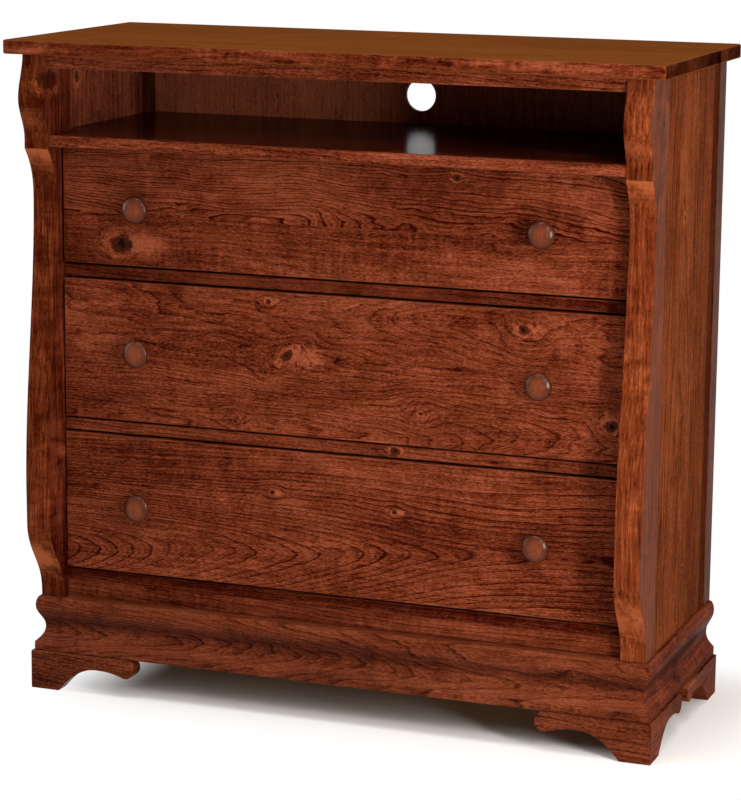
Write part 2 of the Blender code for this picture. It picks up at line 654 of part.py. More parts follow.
def make_drawer(name, bottom, height):
    """One drawer: lipped front, dovetailed box, grooved bottom, knobs and the moving halves of the slides."""
    frame = bpy.data.objects.new(name + "_slide_axis", None)
    frame.location = (0, DRAWER_Y, bottom + height / 2)
    CHEST.objects.link(frame)
    box_bottom, box_top = bottom + BOX_BOTTOM_RISE, bottom + height - BOX_TOP_DROP
    groove_bottom = box_bottom + BOTTOM_RISE
    groove_top = groove_bottom + BOTTOM_THICKNESS
    back_bottom = groove_top + FIT
    front_tip, front_root = DRAWER_Y + FRONT_LIP + FIT, FRONT_BACK_Y + FIT
    rear_tip, rear_root = BOX_REAR, BOX_REAR - BOX_BACK_THICKNESS - FIT
    front_tails, rear_tails = tails(box_bottom, box_top), tails(back_bottom, box_top)
    make_drawer_front(name, frame, bottom, height, front_tails, (groove_bottom, groove_top))
    back = box(
        name + "_back",
        (-BOX_SIDE, BOX_REAR - BOX_BACK_THICKNESS, back_bottom),
        (BOX_SIDE, BOX_REAR, box_top),
        BOX_MAPLE,
        frame,
    )
    side_outline = [(front_root, box_bottom), (rear_tip, box_bottom), (rear_tip, back_bottom - FIT)]
    side_outline.append((rear_root, back_bottom - FIT))
    for middle, half in rear_tails:
        side_outline += tail_outline(middle, half, rear_root, rear_tip)
    side_outline += [(rear_root, box_top), (front_root, box_top)]
    for middle, half in reversed(front_tails):
        side_outline += reversed(tail_outline(middle, half, front_root, front_tip))
    for side_name, side in SIDES:
        piece = f"{name}_{side_name}"
        low, high = sorted((side * BOX_INNER, side * BOX_SIDE))
        wall = extruded(piece + "_side", [side_outline], "YZ", low, high, BOX_MAPLE, frame)
        left, right = sorted((side * (BOX_INNER - CUT_PAST), side * (BOX_INNER + BOTTOM_GROOVE)))
        groove_low = (left, front_tip - CUT_PAST, groove_bottom - FIT)
        groove_high = (right, rear_tip + CUT_PAST, groove_top + FIT)
        cut(wall, box(piece + "_side_groove", groove_low, groove_high, parent=frame))
        low, high = sorted((side * (BOX_INNER - FIT), side * (BOX_SIDE + CUT_PAST)))
        sockets = [tail_outline(*tail, rear_root, rear_tip, FIT, CUT_PAST) for tail in rear_tails]
        cut(back, extruded(piece + "_back_sockets", sockets, "YZ", low, high, parent=frame))
    side = BOX_INNER + BOTTOM_GROOVE - FIT
    low = (-side, FRONT_BACK_Y - BOTTOM_GROOVE + FIT, groove_bottom)
    box(name + "_bottom", low, (side, BOX_REAR, groove_top), PLYWOOD, frame)
    make_slides(name, frame, (box_bottom + box_top) / 2)
    for side_name, side in SIDES:
        make_knob(f"{name}_{side_name}_knob", (side * KNOB_SPACING / 2, bottom + height / 2), frame)


def make_drawer_front(name, frame, bottom, height, front_tails, groove):
    side = OPENING_SIDE - DRAWER_SIDE_GAP
    low, high = (-side, DRAWER_Y, bottom), (side, FRONT_BACK_Y, bottom + height)
    front = box(name + "_front", low, high, FRONT_CHERRY, frame)
    face = -FRONT_THICKNESS / 2
    round_edges(front, FRONT_EDGE_ROUND, 2, lambda a, b: near(a.y, face) and near(b.y, face))
    for side_name, side in SIDES:
        piece = f"{name}_front_{side_name}"
        left, right = sorted((side * BOX_SIDE, side * (OPENING_SIDE + CUT_PAST)))
        rabbet_low = (left, DRAWER_Y + FRONT_LIP, bottom - CUT_PAST)
        rabbet_high = (right, FRONT_BACK_Y + CUT_PAST, bottom + height + CUT_PAST)
        cut(front, box(piece + "_rabbet", rabbet_low, rabbet_high, parent=frame))
        left, right = sorted((side * (BOX_INNER - FIT), side * (BOX_SIDE + CUT_PAST)))
        root, tip = FRONT_BACK_Y + FIT, DRAWER_Y + FRONT_LIP + FIT
        sockets = [tail_outline(*tail, root, tip, FIT, CUT_PAST) for tail in front_tails]
        cut(front, extruded(piece + "_sockets", sockets, "YZ", left, right, parent=frame))
    side = BOX_INNER + BOTTOM_GROOVE
    groove_low = (-side, FRONT_BACK_Y - BOTTOM_GROOVE, groove[0] - FIT)
    groove_high = (side, FRONT_BACK_Y + CUT_PAST, groove[1] + FIT)
    cut(front, box(name + "_front_groove", groove_low, groove_high, parent=frame))


def channel(web, flange_end, half_height, side):
    """End view of a slide's channel: the web's back, then the two flanges and the inside."""
    inside = web + math.copysign(SLIDE_SHEET, flange_end - web)
    points = [(web, -half_height), (flange_end, -half_height), (flange_end, SLIDE_SHEET - half_height)]
    points += [(inside, SLIDE_SHEET - half_height), (inside, half_height - SLIDE_SHEET)]
    points += [(flange_end, half_height - SLIDE_SHEET), (flange_end, half_height), (web, half_height)]
    return [(side * x, z) for x, z in points]


def make_slides(name, frame, level):
    """The fixed channel on the case and the moving channel nested in it, on the drawer side."""
    front, back = FRONT_BACK_Y + SLIDE_END_GAP, BOX_REAR - SLIDE_END_GAP
    outer_web, inner_web = OPENING_SIDE - FIT, BOX_SIDE + FIT
    inner_half = SLIDE_HEIGHT / 2 - SLIDE_SHEET - SLIDE_RUN
    flange = outer_web - inner_web - SLIDE_SHEET - SLIDE_FLANGE_GAP
    for side_name, side in SIDES:
        piece = f"{name}_{side_name}_slide"
        ends = [(x, z + level) for x, z in channel(outer_web, outer_web - flange, SLIDE_HEIGHT / 2, side)]
        extruded(piece + "_outer", [ends], "XZ", front, back, ZINC_STEEL)
        ends = [(x, z + level) for x, z in channel(inner_web, inner_web + flange, inner_half, side)]
        extruded(piece + "_inner", [ends], "XZ", front, back, ZINC_STEEL, frame)


def knob_profile():
    """Radius and height above the drawer face, from the crown down the outside to the base."""
    radius, neck = KNOB_DIAMETER / 2, KNOB_NECK_DIAMETER / 2
    shoulder = KNOB_PROJECTION - KNOB_DOME
    under = shoulder - KNOB_RIM
    crown = (0.0, KNOB_PROJECTION)
    widest = (radius, shoulder - KNOB_RIM * KNOB_RIM_SHARE)
    crown_pull = (radius * KNOB_CROWN_PULL[0], KNOB_PROJECTION)
    rim_pull = (radius, shoulder + KNOB_DOME * KNOB_CROWN_PULL[1])
    points = [crown]
    points += bezier(crown, crown_pull, rim_pull, widest, KNOB_CURVE_STEPS)
    neck_top = (neck, KNOB_NECK_RISE)
    points += bezier(widest, (radius, under), (neck + KNOB_UNDERCUT, under), neck_top, KNOB_CURVE_STEPS)
    return points + [(KNOB_BASE_DIAMETER / 2, 0.0), (0.0, 0.0)]


def make_knob(name, place, frame):
    """A turned knob, its axis square to the drawer face."""
    shape = bmesh.new()
    points = [shape.verts.new((radius, 0.0, up)) for radius, up in knob_profile()]
    for first, second in zip(points, points[1:]):
        shape.edges.new((first, second))
    mesh = bpy.data.meshes.new(name)
    shape.to_mesh(mesh)
    shape.free()
    knob = add_object(name, mesh, (place[0], DRAWER_Y - FIT, place[1]), KNOB_CHERRY, frame)
    knob.rotation_euler = (math.radians(90), 0, 0)
    turn = knob.modifiers.new("turn", "SCREW")
    turn.axis = "Z"
    turn.angle = math.radians(360)
    turn.steps = KNOB_STEPS
    turn.render_steps = KNOB_STEPS
    turn.use_merge_vertices = True
    turn.merge_threshold = WELD
    turn.use_smooth_shade = True


make_top_panel()
make_front_posts()
make_rear_posts()
make_side_panels()
make_slide_backers()
make_rails()
make_media_shelf()
make_back_panel()
make_base_moulding()
make_feet()
for drawer in DRAWERS:
    make_drawer(*drawer)
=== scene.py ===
import json
import math

import bmesh
import bpy
from mathutils import Matrix, Vector


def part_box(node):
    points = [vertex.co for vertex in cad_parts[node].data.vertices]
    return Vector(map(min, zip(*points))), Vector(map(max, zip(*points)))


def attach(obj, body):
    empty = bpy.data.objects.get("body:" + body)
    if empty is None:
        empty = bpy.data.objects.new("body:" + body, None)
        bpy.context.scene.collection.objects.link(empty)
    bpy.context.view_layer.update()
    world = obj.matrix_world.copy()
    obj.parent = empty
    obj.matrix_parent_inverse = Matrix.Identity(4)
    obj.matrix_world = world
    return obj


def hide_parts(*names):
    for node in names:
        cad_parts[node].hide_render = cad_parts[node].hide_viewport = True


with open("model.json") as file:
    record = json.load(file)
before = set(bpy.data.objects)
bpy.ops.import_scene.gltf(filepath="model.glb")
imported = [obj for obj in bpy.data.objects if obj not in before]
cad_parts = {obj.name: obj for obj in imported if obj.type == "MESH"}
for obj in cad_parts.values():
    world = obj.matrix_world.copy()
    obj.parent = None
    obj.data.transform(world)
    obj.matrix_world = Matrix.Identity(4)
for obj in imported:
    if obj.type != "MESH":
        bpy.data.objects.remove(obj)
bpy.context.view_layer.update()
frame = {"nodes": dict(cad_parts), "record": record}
nodes = frame["nodes"]
record = frame["record"]
bodyOf = {node: body for body, members in record["behaviour"]["bodies"].items() for node in members}
slotOf = {row["node"]: row["material_slot"] for row in record["subparts"]}
drawers = ("drawer_1", "drawer_2", "drawer_3")
hands = ("left", "right")
print("frame loaded:", len(nodes), "nodes")


# small helpers for node trees

def plug(tree, socket, value):
    if isinstance(value, bpy.types.NodeSocket):
        tree.links.new(value, socket)
    else:
        socket.default_value = value


def put(tree, kind, inputs=None, **fields):
    node = tree.nodes.new(kind)
    for key, value in fields.items():
        setattr(node, key, value)
    for key, value in (inputs or {}).items():
        plug(tree, node.inputs[key], value)
    return node


def calc(tree, operation, *values):
    node = put(tree, "ShaderNodeMath", operation=operation)
    for socket, value in zip(node.inputs, values):
        plug(tree, socket, value)
    return node.outputs[0]


def vecCalc(tree, operation, *values):
    node = put(tree, "ShaderNodeVectorMath", operation=operation)
    for socket, value in zip(node.inputs, values):
        plug(tree, socket, value)
    return node.outputs["Value" if operation in ("LENGTH", "DOT_PRODUCT") else "Vector"]


def vecScale(tree, vector, amount):
    node = put(tree, "ShaderNodeVectorMath", operation="SCALE")
    plug(tree, node.inputs[0], vector)
    plug(tree, node.inputs["Scale"], amount)
    return node.outputs[0]


def split(tree, vector):
    return put(tree, "ShaderNodeSeparateXYZ", {"Vector": vector}).outputs


def join(tree, x=0.0, y=0.0, z=0.0):
    return put(tree, "ShaderNodeCombineXYZ", {"X": x, "Y": y, "Z": z}).outputs[0]


def shaded(tree, colour, value):  # a colour times one grey value
    return tint(tree, "MULTIPLY", 1.0, colour, join(tree, value, value, value))


def ease(tree, value, low, high, start=0.0, end=1.0):  # a soft step from low to high
    inputs = {"Value": value, "From Min": low, "From Max": high, "To Min": start, "To Max": end}
    return put(tree, "ShaderNodeMapRange", inputs, interpolation_type="SMOOTHSTEP").outputs[0]


def fall(tree, value, low, high):  # a soft step down
    return ease(tree, value, low, high, 1.0, 0.0)


def speckle(tree, vector, stretch, detail, rough, twist=0.0, colour=False):  # noise, stretched by the way
    inputs = {"Vector": vecCalc(tree, "MULTIPLY", vector, stretch), "Scale": 1.0, "Detail": detail}
    inputs.update({"Roughness": rough, "Distortion": twist})
    return put(tree, "ShaderNodeTexNoise", inputs).outputs["Color" if colour else "Fac"]


def swing(tree, vector, *noise):  # noise to either side of zero
    return calc(tree, "SUBTRACT", speckle(tree, vector, *noise), 0.5)


def sway(tree, vector, noise, size):  # the same, with a size for each direction
    swayed = vecCalc(tree, "SUBTRACT", speckle(tree, vector, *noise, colour=True), (0.5, 0.5, 0.5))
    return vecCalc(tree, "MULTIPLY", swayed, size)


def tint(tree, mode, amount, below, above):
    node = put(tree, "ShaderNodeMix", data_type="RGBA", blend_type=mode)
    plug(tree, node.inputs[0], amount)
    plug(tree, node.inputs[6], below)
    plug(tree, node.inputs[7], above)
    return node.outputs[2]


def ramp(tree, value, stops):
    node = put(tree, "ShaderNodeValToRGB", {"Fac": value})
    band = node.color_ramp
    while len(band.elements) < len(stops):
        band.elements.new(0.5)
    for element, (place, shade) in zip(band.elements, stops):
        element.position = place
        element.color = (*shade, 1.0) if isinstance(shade, tuple) else (shade, shade, shade, 1.0)
    return node.outputs["Color"]


def startGroup(name, inputs, outputs):
    group = bpy.data.node_groups.new(name, "ShaderNodeTree")
    for label, kind, value in inputs:
        socket = group.interface.new_socket(name=label, in_out="INPUT", socket_type="NodeSocket" + kind)
        if value is not None:
            socket.default_value = value
    for label, kind in outputs:
        group.interface.new_socket(name=label, in_out="OUTPUT", socket_type="NodeSocket" + kind)
    start = group.nodes.new("NodeGroupInput")
    end = group.nodes.new("NodeGroupOutput")
    return group, start.outputs, end.inputs


# cherry: board coordinates are (along the grain, across the board, out of its face), in metres

grainPattern = {  # noises are (stretch, detail, roughness, twist)
    "sway": ((1.6, 6.0, 6.0), 2.0, 0.5), "swaySize": (0.0, 4.0, 4.0),
    "ripple": ((13.0, 40.0, 40.0), 2.0, 0.5), "rippleSize": (0.0, 0.5, 0.5),
    "archBlend": 0.15, "archRange": (0.02, 0.16), "archLeft": 0.25,
    "jitter": ((6.0, 55.0, 55.0), 3.0, 0.6), "jitterSize": 0.7,
    "ringLine": ((0.0, 0.3), (0.1, 0.0), (0.5, 0.05), (0.78, 0.4), (0.92, 1.0), (1.0, 0.3)),
    "ringSpread": 0.8, "ringLeast": 0.2, "ringShare": 0.85,
    "innerRings": 3.0, "innerLine": ((0.0, 0.2), (0.3, 0.0), (0.8, 0.75), (1.0, 0.2)), "innerShare": 0.32,
    "dash": ((150.0, 620.0, 620.0), 2.0, 0.75), "dashSize": 1.5,
    "streak": ((7.0, 210.0, 210.0), 2.0, 0.65),
    "pore": ((95.0, 700.0, 700.0), 1.0, 0.5), "poreRange": (0.58, 0.7), "poreShare": 0.6,
    "gum": ((28.0, 150.0, 150.0), 2.0, 0.5), "gumRange": (0.67, 0.75),
    "curlPatch": ((5.0, 9.0, 9.0), 2.0, 0.5), "patchRange": (0.4, 0.62), "patchGain": 1.6, "patchLeast": 0.4,
    "curlAcross": 22.0, "curlNoise": (2.0, 0.5, 0.6),
    "cloud": ((3.5, 9.0, 9.0), 4.0, 0.55, 0.3),
    "mottle": ((21.0, 38.0, 38.0), 2.0, 0.55, 0.5), "mottleShare": 0.4,
    "lineMiddle": 0.22,
}
middleTone = 0.5


def makeGrainGroup():
    inputs = [
        ("Vector", "Vector", None), ("Seed", "Vector", (0.0, 0.0, 0.0)), ("Pith", "Vector", (0.0, 0.0, 0.0)),
        ("Taper", "Float", 0.05), ("Wander", "Float", 0.012), ("Rings", "Float", 200.0),
        ("Ring Depth", "Float", 0.4), ("Curl", "Float", 0.3), ("Curl Length", "Float", 55.0),
        ("Blotch", "Float", 0.8), ("Fibre", "Float", 0.5), ("Fleck", "Float", 0.3), ("Streak", "Float", 0.9),
        ("Lean", "Float", 0.0), ("Arch End", "Float", 2.0),
    ]
    outputs = [("Tone", "Float"), ("Line", "Float"), ("Pore", "Float")]
    group, given, made = startGroup("cherryGrain", inputs, outputs)
    wood = grainPattern
    place = given["Vector"]
    board = vecCalc(group, "ADD", place, given["Seed"])
    slow = sway(group, board, wood["sway"], wood["swaySize"])
    quick = sway(group, board, wood["ripple"], wood["rippleSize"])
    drift = vecScale(group, vecCalc(group, "ADD", slow, quick), given["Wander"])
    bent = vecCalc(group, "ADD", place, drift)
    grained = vecCalc(group, "ADD", board, drift)
    # growth rings round a leaning pith
    along = split(group, place)[0]
    leant = join(group, y=calc(group, "MULTIPLY", along, given["Lean"]))
    fromPith = vecCalc(group, "SUBTRACT", bent, vecCalc(group, "ADD", given["Pith"], leant))
    fromPith = vecCalc(group, "MULTIPLY", fromPith, (0.0, 1.0, 1.0))
    offPith = calc(group, "ABSOLUTE", split(group, fromPith)[1])
    closing = calc(group, "SMOOTH_MIN", along, given["Arch End"], wood["archBlend"])
    nearPith = ease(group, offPith, *wood["archRange"], 1.0, wood["archLeft"])
    closing = calc(group, "MULTIPLY", closing, nearPith)  # arches close near the pith
    radius = calc(group, "MULTIPLY_ADD", closing, given["Taper"], vecCalc(group, "LENGTH", fromPith))
    rings = calc(group, "MULTIPLY", radius, given["Rings"])
    phase = calc(group, "MULTIPLY_ADD", speckle(group, board, *wood["jitter"]), wood["jitterSize"], rings)
    ringNumber = calc(group, "FLOOR", phase)
    chance = put(group, "ShaderNodeTexWhiteNoise", {"W": ringNumber}, noise_dimensions="1D").outputs["Value"]
    strength = calc(group, "MULTIPLY_ADD", chance, wood["ringSpread"], wood["ringLeast"])
    line = calc(group, "MULTIPLY", ramp(group, calc(group, "FRACT", phase), wood["ringLine"]), strength)
    between = calc(group, "FRACT", calc(group, "MULTIPLY", phase, wood["innerRings"]))
    between = ramp(group, between, wood["innerLine"])  # fainter lines in each ring
    line = calc(group, "MULTIPLY", line, wood["ringShare"])
    line = calc(group, "MULTIPLY_ADD", between, wood["innerShare"], line)
    # short fibres, pores and gum, curl and clouds
    dash = swing(group, grained, *wood["dash"])
    streak = calc(group, "MULTIPLY", swing(group, grained, *wood["streak"]), given["Streak"])
    fibre = calc(group, "MULTIPLY_ADD", dash, wood["dashSize"], streak)
    pore = ease(group, speckle(group, grained, *wood["pore"]), *wood["poreRange"])
    gum = ease(group, speckle(group, grained, *wood["gum"]), *wood["gumRange"])
    marks = calc(group, "MAXIMUM", calc(group, "MULTIPLY", pore, wood["poreShare"]), gum)
    patch = ease(group, speckle(group, board, *wood["curlPatch"]), *wood["patchRange"])
    patch = calc(group, "MULTIPLY_ADD", patch, wood["patchGain"], wood["patchLeast"])
    curlStretch = join(group, given["Curl Length"], wood["curlAcross"], wood["curlAcross"])
    curl = calc(group, "MULTIPLY", swing(group, grained, curlStretch, *wood["curlNoise"]), patch)
    cloud = swing(group, board, *wood["cloud"])
    blotch = calc(group, "MULTIPLY_ADD", swing(group, grained, *wood["mottle"]), wood["mottleShare"], cloud)
    tone = calc(group, "MULTIPLY_ADD", blotch, given["Blotch"], middleTone)
    tone = calc(group, "MULTIPLY_ADD", curl, given["Curl"], tone)
    tone = calc(group, "MULTIPLY_ADD", fibre, given["Fibre"], tone)
    ringTone = calc(group, "MULTIPLY", calc(group, "SUBTRACT", line, wood["lineMiddle"]), given["Ring Depth"])
    tone = calc(group, "SUBTRACT", tone, ringTone)
    tone = calc(group, "SUBTRACT", tone, calc(group, "MULTIPLY", marks, given["Fleck"]))
    plug(group, made["Tone"], tone)
    plug(group, made["Line"], line)
    plug(group, made["Pore"], marks)
    return group


knotPattern = {  # ranges are in knot radii
    "wobble": ((90.0, 90.0, 90.0), 3.0, 0.6), "wobbleSize": (1.6, 1.6, 0.0), "ovalAlong": 0.8,
    "spikes": ((2.2, 2.2, 2.2), 2.0, 0.6), "spikeRange": (0.35, 0.68, 0.3, 1.0), "crackRange": (0.32, 0.72),
    "heartRange": (0.8, 1.2), "rimRise": (0.95, 1.3), "rimFall": (1.3, 2.3), "rimShare": 0.5,
    "trailStart": 2.4, "trailSize": (0.36, 0.8, 0.0), "trailRange": (0.25, 1.7),
    "pullAcross": -0.8, "pullDeep": 1.8,
}


def makeKnotGroup():
    inputs = [
        ("Vector", "Vector", None), ("Place", "Vector", (0.0, 0.0, 0.0)), ("Radius", "Float", 0.008),
        ("Reach", "Float", 4.0), ("Flare", "Float", 0.5), ("Tilt", "Float", 0.0), ("Squash", "Float", 1.0),
        ("Fade", "Float", 0.0),
    ]
    outputs = [("Vector", "Vector"), ("Crack", "Float"), ("Heart", "Float"), ("Glow", "Float")]
    group, given, made = startGroup("cherryKnot", inputs, outputs)
    wood = knotPattern
    radius = given["Radius"]
    flat = join(group, 1.0, 1.0, given["Fade"])
    near = vecCalc(group, "MULTIPLY", vecCalc(group, "SUBTRACT", given["Vector"], given["Place"]), flat)
    wobble = sway(group, given["Vector"], wood["wobble"], wood["wobbleSize"])
    ragged = vecCalc(group, "ADD", near, vecScale(group, wobble, radius))
    turning = {"Vector": ragged, "Angle": given["Tilt"]}
    turned = put(group, "ShaderNodeVectorRotate", turning, rotation_type="Z_AXIS").outputs[0]
    turned = vecCalc(group, "MULTIPLY", turned, join(group, wood["ovalAlong"], given["Squash"], 1.0))
    away = calc(group, "DIVIDE", vecCalc(group, "LENGTH", turned), radius)
    outward = vecCalc(group, "ADD", vecCalc(group, "NORMALIZE", near), given["Place"])
    spikes = ease(group, speckle(group, outward, *wood["spikes"]), *wood["spikeRange"])
    crack = fall(group, calc(group, "DIVIDE", away, spikes), *wood["crackRange"])
    heart = fall(group, away, *wood["heartRange"])
    rim = calc(group, "MULTIPLY", ease(group, away, *wood["rimRise"]), fall(group, away, *wood["rimFall"]))
    rim = calc(group, "MULTIPLY", rim, wood["rimShare"])
    trailStart = join(group, calc(group, "MULTIPLY", radius, wood["trailStart"]))
    trail = vecCalc(group, "MULTIPLY", vecCalc(group, "SUBTRACT", ragged, trailStart), wood["trailSize"])
    trail = calc(group, "DIVIDE", vecCalc(group, "LENGTH", trail), radius)
    flare = calc(group, "MULTIPLY", fall(group, trail, *wood["trailRange"]), given["Flare"])
    flare = calc(group, "MULTIPLY", flare, calc(group, "SUBTRACT", 1.0, heart))
    # the grain is pulled round the knot
    pull = fall(group, away, 0.0, given["Reach"])
    across = calc(group, "MULTIPLY", calc(group, "MULTIPLY", split(group, near)[1], pull), wood["pullAcross"])
    deep = calc(group, "MULTIPLY", radius, wood["pullDeep"])
    deep = calc(group, "MULTIPLY", calc(group, "POWER", pull, 2.0), deep)
    plug(group, made["Vector"], vecCalc(group, "ADD", given["Vector"], join(group, 0.0, across, deep)))
    plug(group, made["Crack"], crack)
    plug(group, made["Heart"], heart)
    plug(group, made["Glow"], calc(group, "MAXIMUM", rim, flare))
    return group


grainGroup = makeGrainGroup()
knotGroup = makeKnotGroup()

stains = {  # darkest, middle and lightest colour of each stain, linear
    "front": ((0.0280, 0.0016, 0.0004), (0.1380, 0.0262, 0.0096), (0.3170, 0.0790, 0.0350)),
    "post": ((0.0500, 0.0055, 0.0010), (0.1650, 0.0340, 0.0105), (0.4000, 0.1050, 0.0360)),
    "top": ((0.0800, 0.0220, 0.0042), (0.1180, 0.0350, 0.0076), (0.1600, 0.0510, 0.0130)),
    "side": ((0.0420, 0.0068, 0.0010), (0.1160, 0.0262, 0.0072), (0.2250, 0.0590, 0.0200)),
    "rear": ((0.0200, 0.0036, 0.0008), (0.0620, 0.0135, 0.0038), (0.1300, 0.0330, 0.0110)),
    "base": ((0.0200, 0.0016, 0.0004), (0.1030, 0.0198, 0.0068), (0.2400, 0.0600, 0.0240)),
    # the next two are painted light, not stains: brighter copies of the side stain for the faces that light
    # falls on in the cubby
    "inside": ((0.0700, 0.0110, 0.0050), (0.2600, 0.0590, 0.0260), (0.4200, 0.1200, 0.0540)),
    "lit": ((0.1600, 0.0330, 0.0150), (0.4600, 0.1200, 0.0560), (0.6600, 0.2100, 0.1000)),
    "knob": ((0.0400, 0.0056, 0.0016), (0.1280, 0.0260, 0.0080), (0.2400, 0.0620, 0.0200)),
}
stainStops = (0.05, 0.5, 0.95)
knotHeart = (0.0290, 0.0066, 0.0034, 1.0)
knotCrack = (0.0040, 0.0022, 0.0018, 1.0)
plainKnot = (0.0, 1.0, 0.0, 0.0)  # tilt, squash, depth in the board and fade, for a knot that gives none

boardTurns = {  # grain direction and the direction across the board
    "sideways": ((1, 0, 0), (0, 0, 1)),
    "flat": ((1, 0, 0), (0, 1, 0)),
    "upright": ((0, 0, 1), (1, 0, 0)),
    "uprightSide": ((0, 0, 1), (0, 1, 0)),
    "inward": ((0, 1, 0), (0, 0, 1)),
}

cherryUsual = {
    "stain": "front", "edgeStain": "", "turn": "sideways", "seed": (0.0, 0.0, 0.0), "pith": (0.0, 0.0, 0.0),
    "taper": 0.03, "wander": 0.012, "rings": 190.0, "ringDepth": 0.5, "curl": 0.25, "curlLength": 60.0,
    "blotch": 0.9, "fibre": 1.0, "fleck": 0.3, "streak": 0.9, "lean": 0.0, "archEnd": 2.0, "lift": 0.0,
    "boards": (), "knots": (), "endGrain": 0.55, "arris": 0.0009, "edgeGrain": 1.0, "edgeLift": 0.0,
    "innerStain": "", "innerWay": (0, 0, 0), "pool": (), "hollow": (),
    # the arris lightening below is rub wear and a painted highlight
    "worn": 0.35, "gloss": 0.012, "rough": 0.34, "bump": 0.12, "shine": (1.0, 1.0, 1.0),
}
grainKeys = {
    "Seed": "seed", "Pith": "pith", "Taper": "taper", "Wander": "wander", "Rings": "rings",
    "Ring Depth": "ringDepth", "Curl": "curl", "Curl Length": "curlLength", "Blotch": "blotch",
    "Fibre": "fibre", "Fleck": "fleck", "Streak": "streak", "Lean": "lean", "Arch End": "archEnd",
}
cherryShading = {
    "glow": 0.6, "heart": 0.68, "crack": 0.95, "edgeRange": (0.35, 0.6), "innerRange": (0.5, 0.8),
    "paintedDomeShadeRange": (0.3, 1.0, 1.2, 0.45), "endRange": (0.75, 0.95), "rubAndHighlightRange": (0.8, 0.97),
    "rubAndHighlightPatch": ((30.0, 30.0, 30.0), 3.0, 0.6), "patchRange": (0.3, 0.55),
    "lineRough": 0.08, "poreRough": 0.3, "lineDepth": 0.3, "bumpDepth": 0.0006,
}


def boardValue(tree, masks, values):  # one value for each of the boards that a panel is glued up from
    mixed = values[0]
    for mask, before, after in zip(masks, values, values[1:]):
        if before == after:
            continue
        if isinstance(after, tuple):
            step = tuple(b - a for a, b in zip(before, after))
            mixed = vecCalc(tree, "ADD", mixed, vecScale(tree, step, mask))
        else:
            mixed = calc(tree, "MULTIPLY_ADD", mask, after - before, mixed)
    return mixed


def newFinish(name):
    material = bpy.data.materials.new(name)
    material.use_nodes = True
    tree = material.node_tree
    place = put(tree, "ShaderNodeTexCoord").outputs["Object"]
    return material, tree, tree.nodes["Principled BSDF"], place


def boardSpace(tree, place, turn, shift=(0.0, 0.0, 0.0)):  # board coordinates, the ways along and through
    along, across = (Vector(way) for way in boardTurns[turn])
    through = along.cross(across)
    inputs = {"Vector": place, "Rotation": Matrix((along, across, through)).to_euler(), "Location": shift}
    return put(tree, "ShaderNodeMapping", inputs).outputs[0], tuple(along), tuple(through)


def stainColour(tree, tone, stain):
    return ramp(tree, tone, tuple(zip(stainStops, stains[stain])))


def squareOn(tree, facing, way):  # 1 where a face looks along a direction or against it
    return calc(tree, "ABSOLUTE", vecCalc(tree, "DOT_PRODUCT", facing, way))


def raiseFace(tree, shader, height, strength, depth):
    bump = put(tree, "ShaderNodeBump", {"Height": height, "Strength": strength, "Distance": depth})
    plug(tree, shader.inputs["Normal"], bump.outputs[0])


def sinkGrain(tree, shader, grain, lineDepth, strength, depth):  # lines and pores lie below the face
    sunk = calc(tree, "MULTIPLY_ADD", grain.outputs["Line"], lineDepth, grain.outputs["Pore"])
    raiseFace(tree, shader, calc(tree, "SUBTRACT", 0.5, sunk), strength, depth)


def setKnots(tree, board, knots):
    marks = {}
    for along, across, radius, reach, flare, *shape in knots:
        tilt, squash, deep, fade = shape or plainKnot
        inputs = {"Vector": board, "Place": (along, across, deep), "Radius": radius, "Reach": reach}
        inputs.update({"Flare": flare, "Tilt": tilt, "Squash": squash, "Fade": fade})
        knot = put(tree, "ShaderNodeGroup", inputs, node_tree=knotGroup).outputs
        board = knot["Vector"]
        for mark in ("Crack", "Heart", "Glow"):
            marks[mark] = calc(tree, "MAXIMUM", marks[mark], knot[mark]) if mark in marks else knot[mark]
    return board, marks


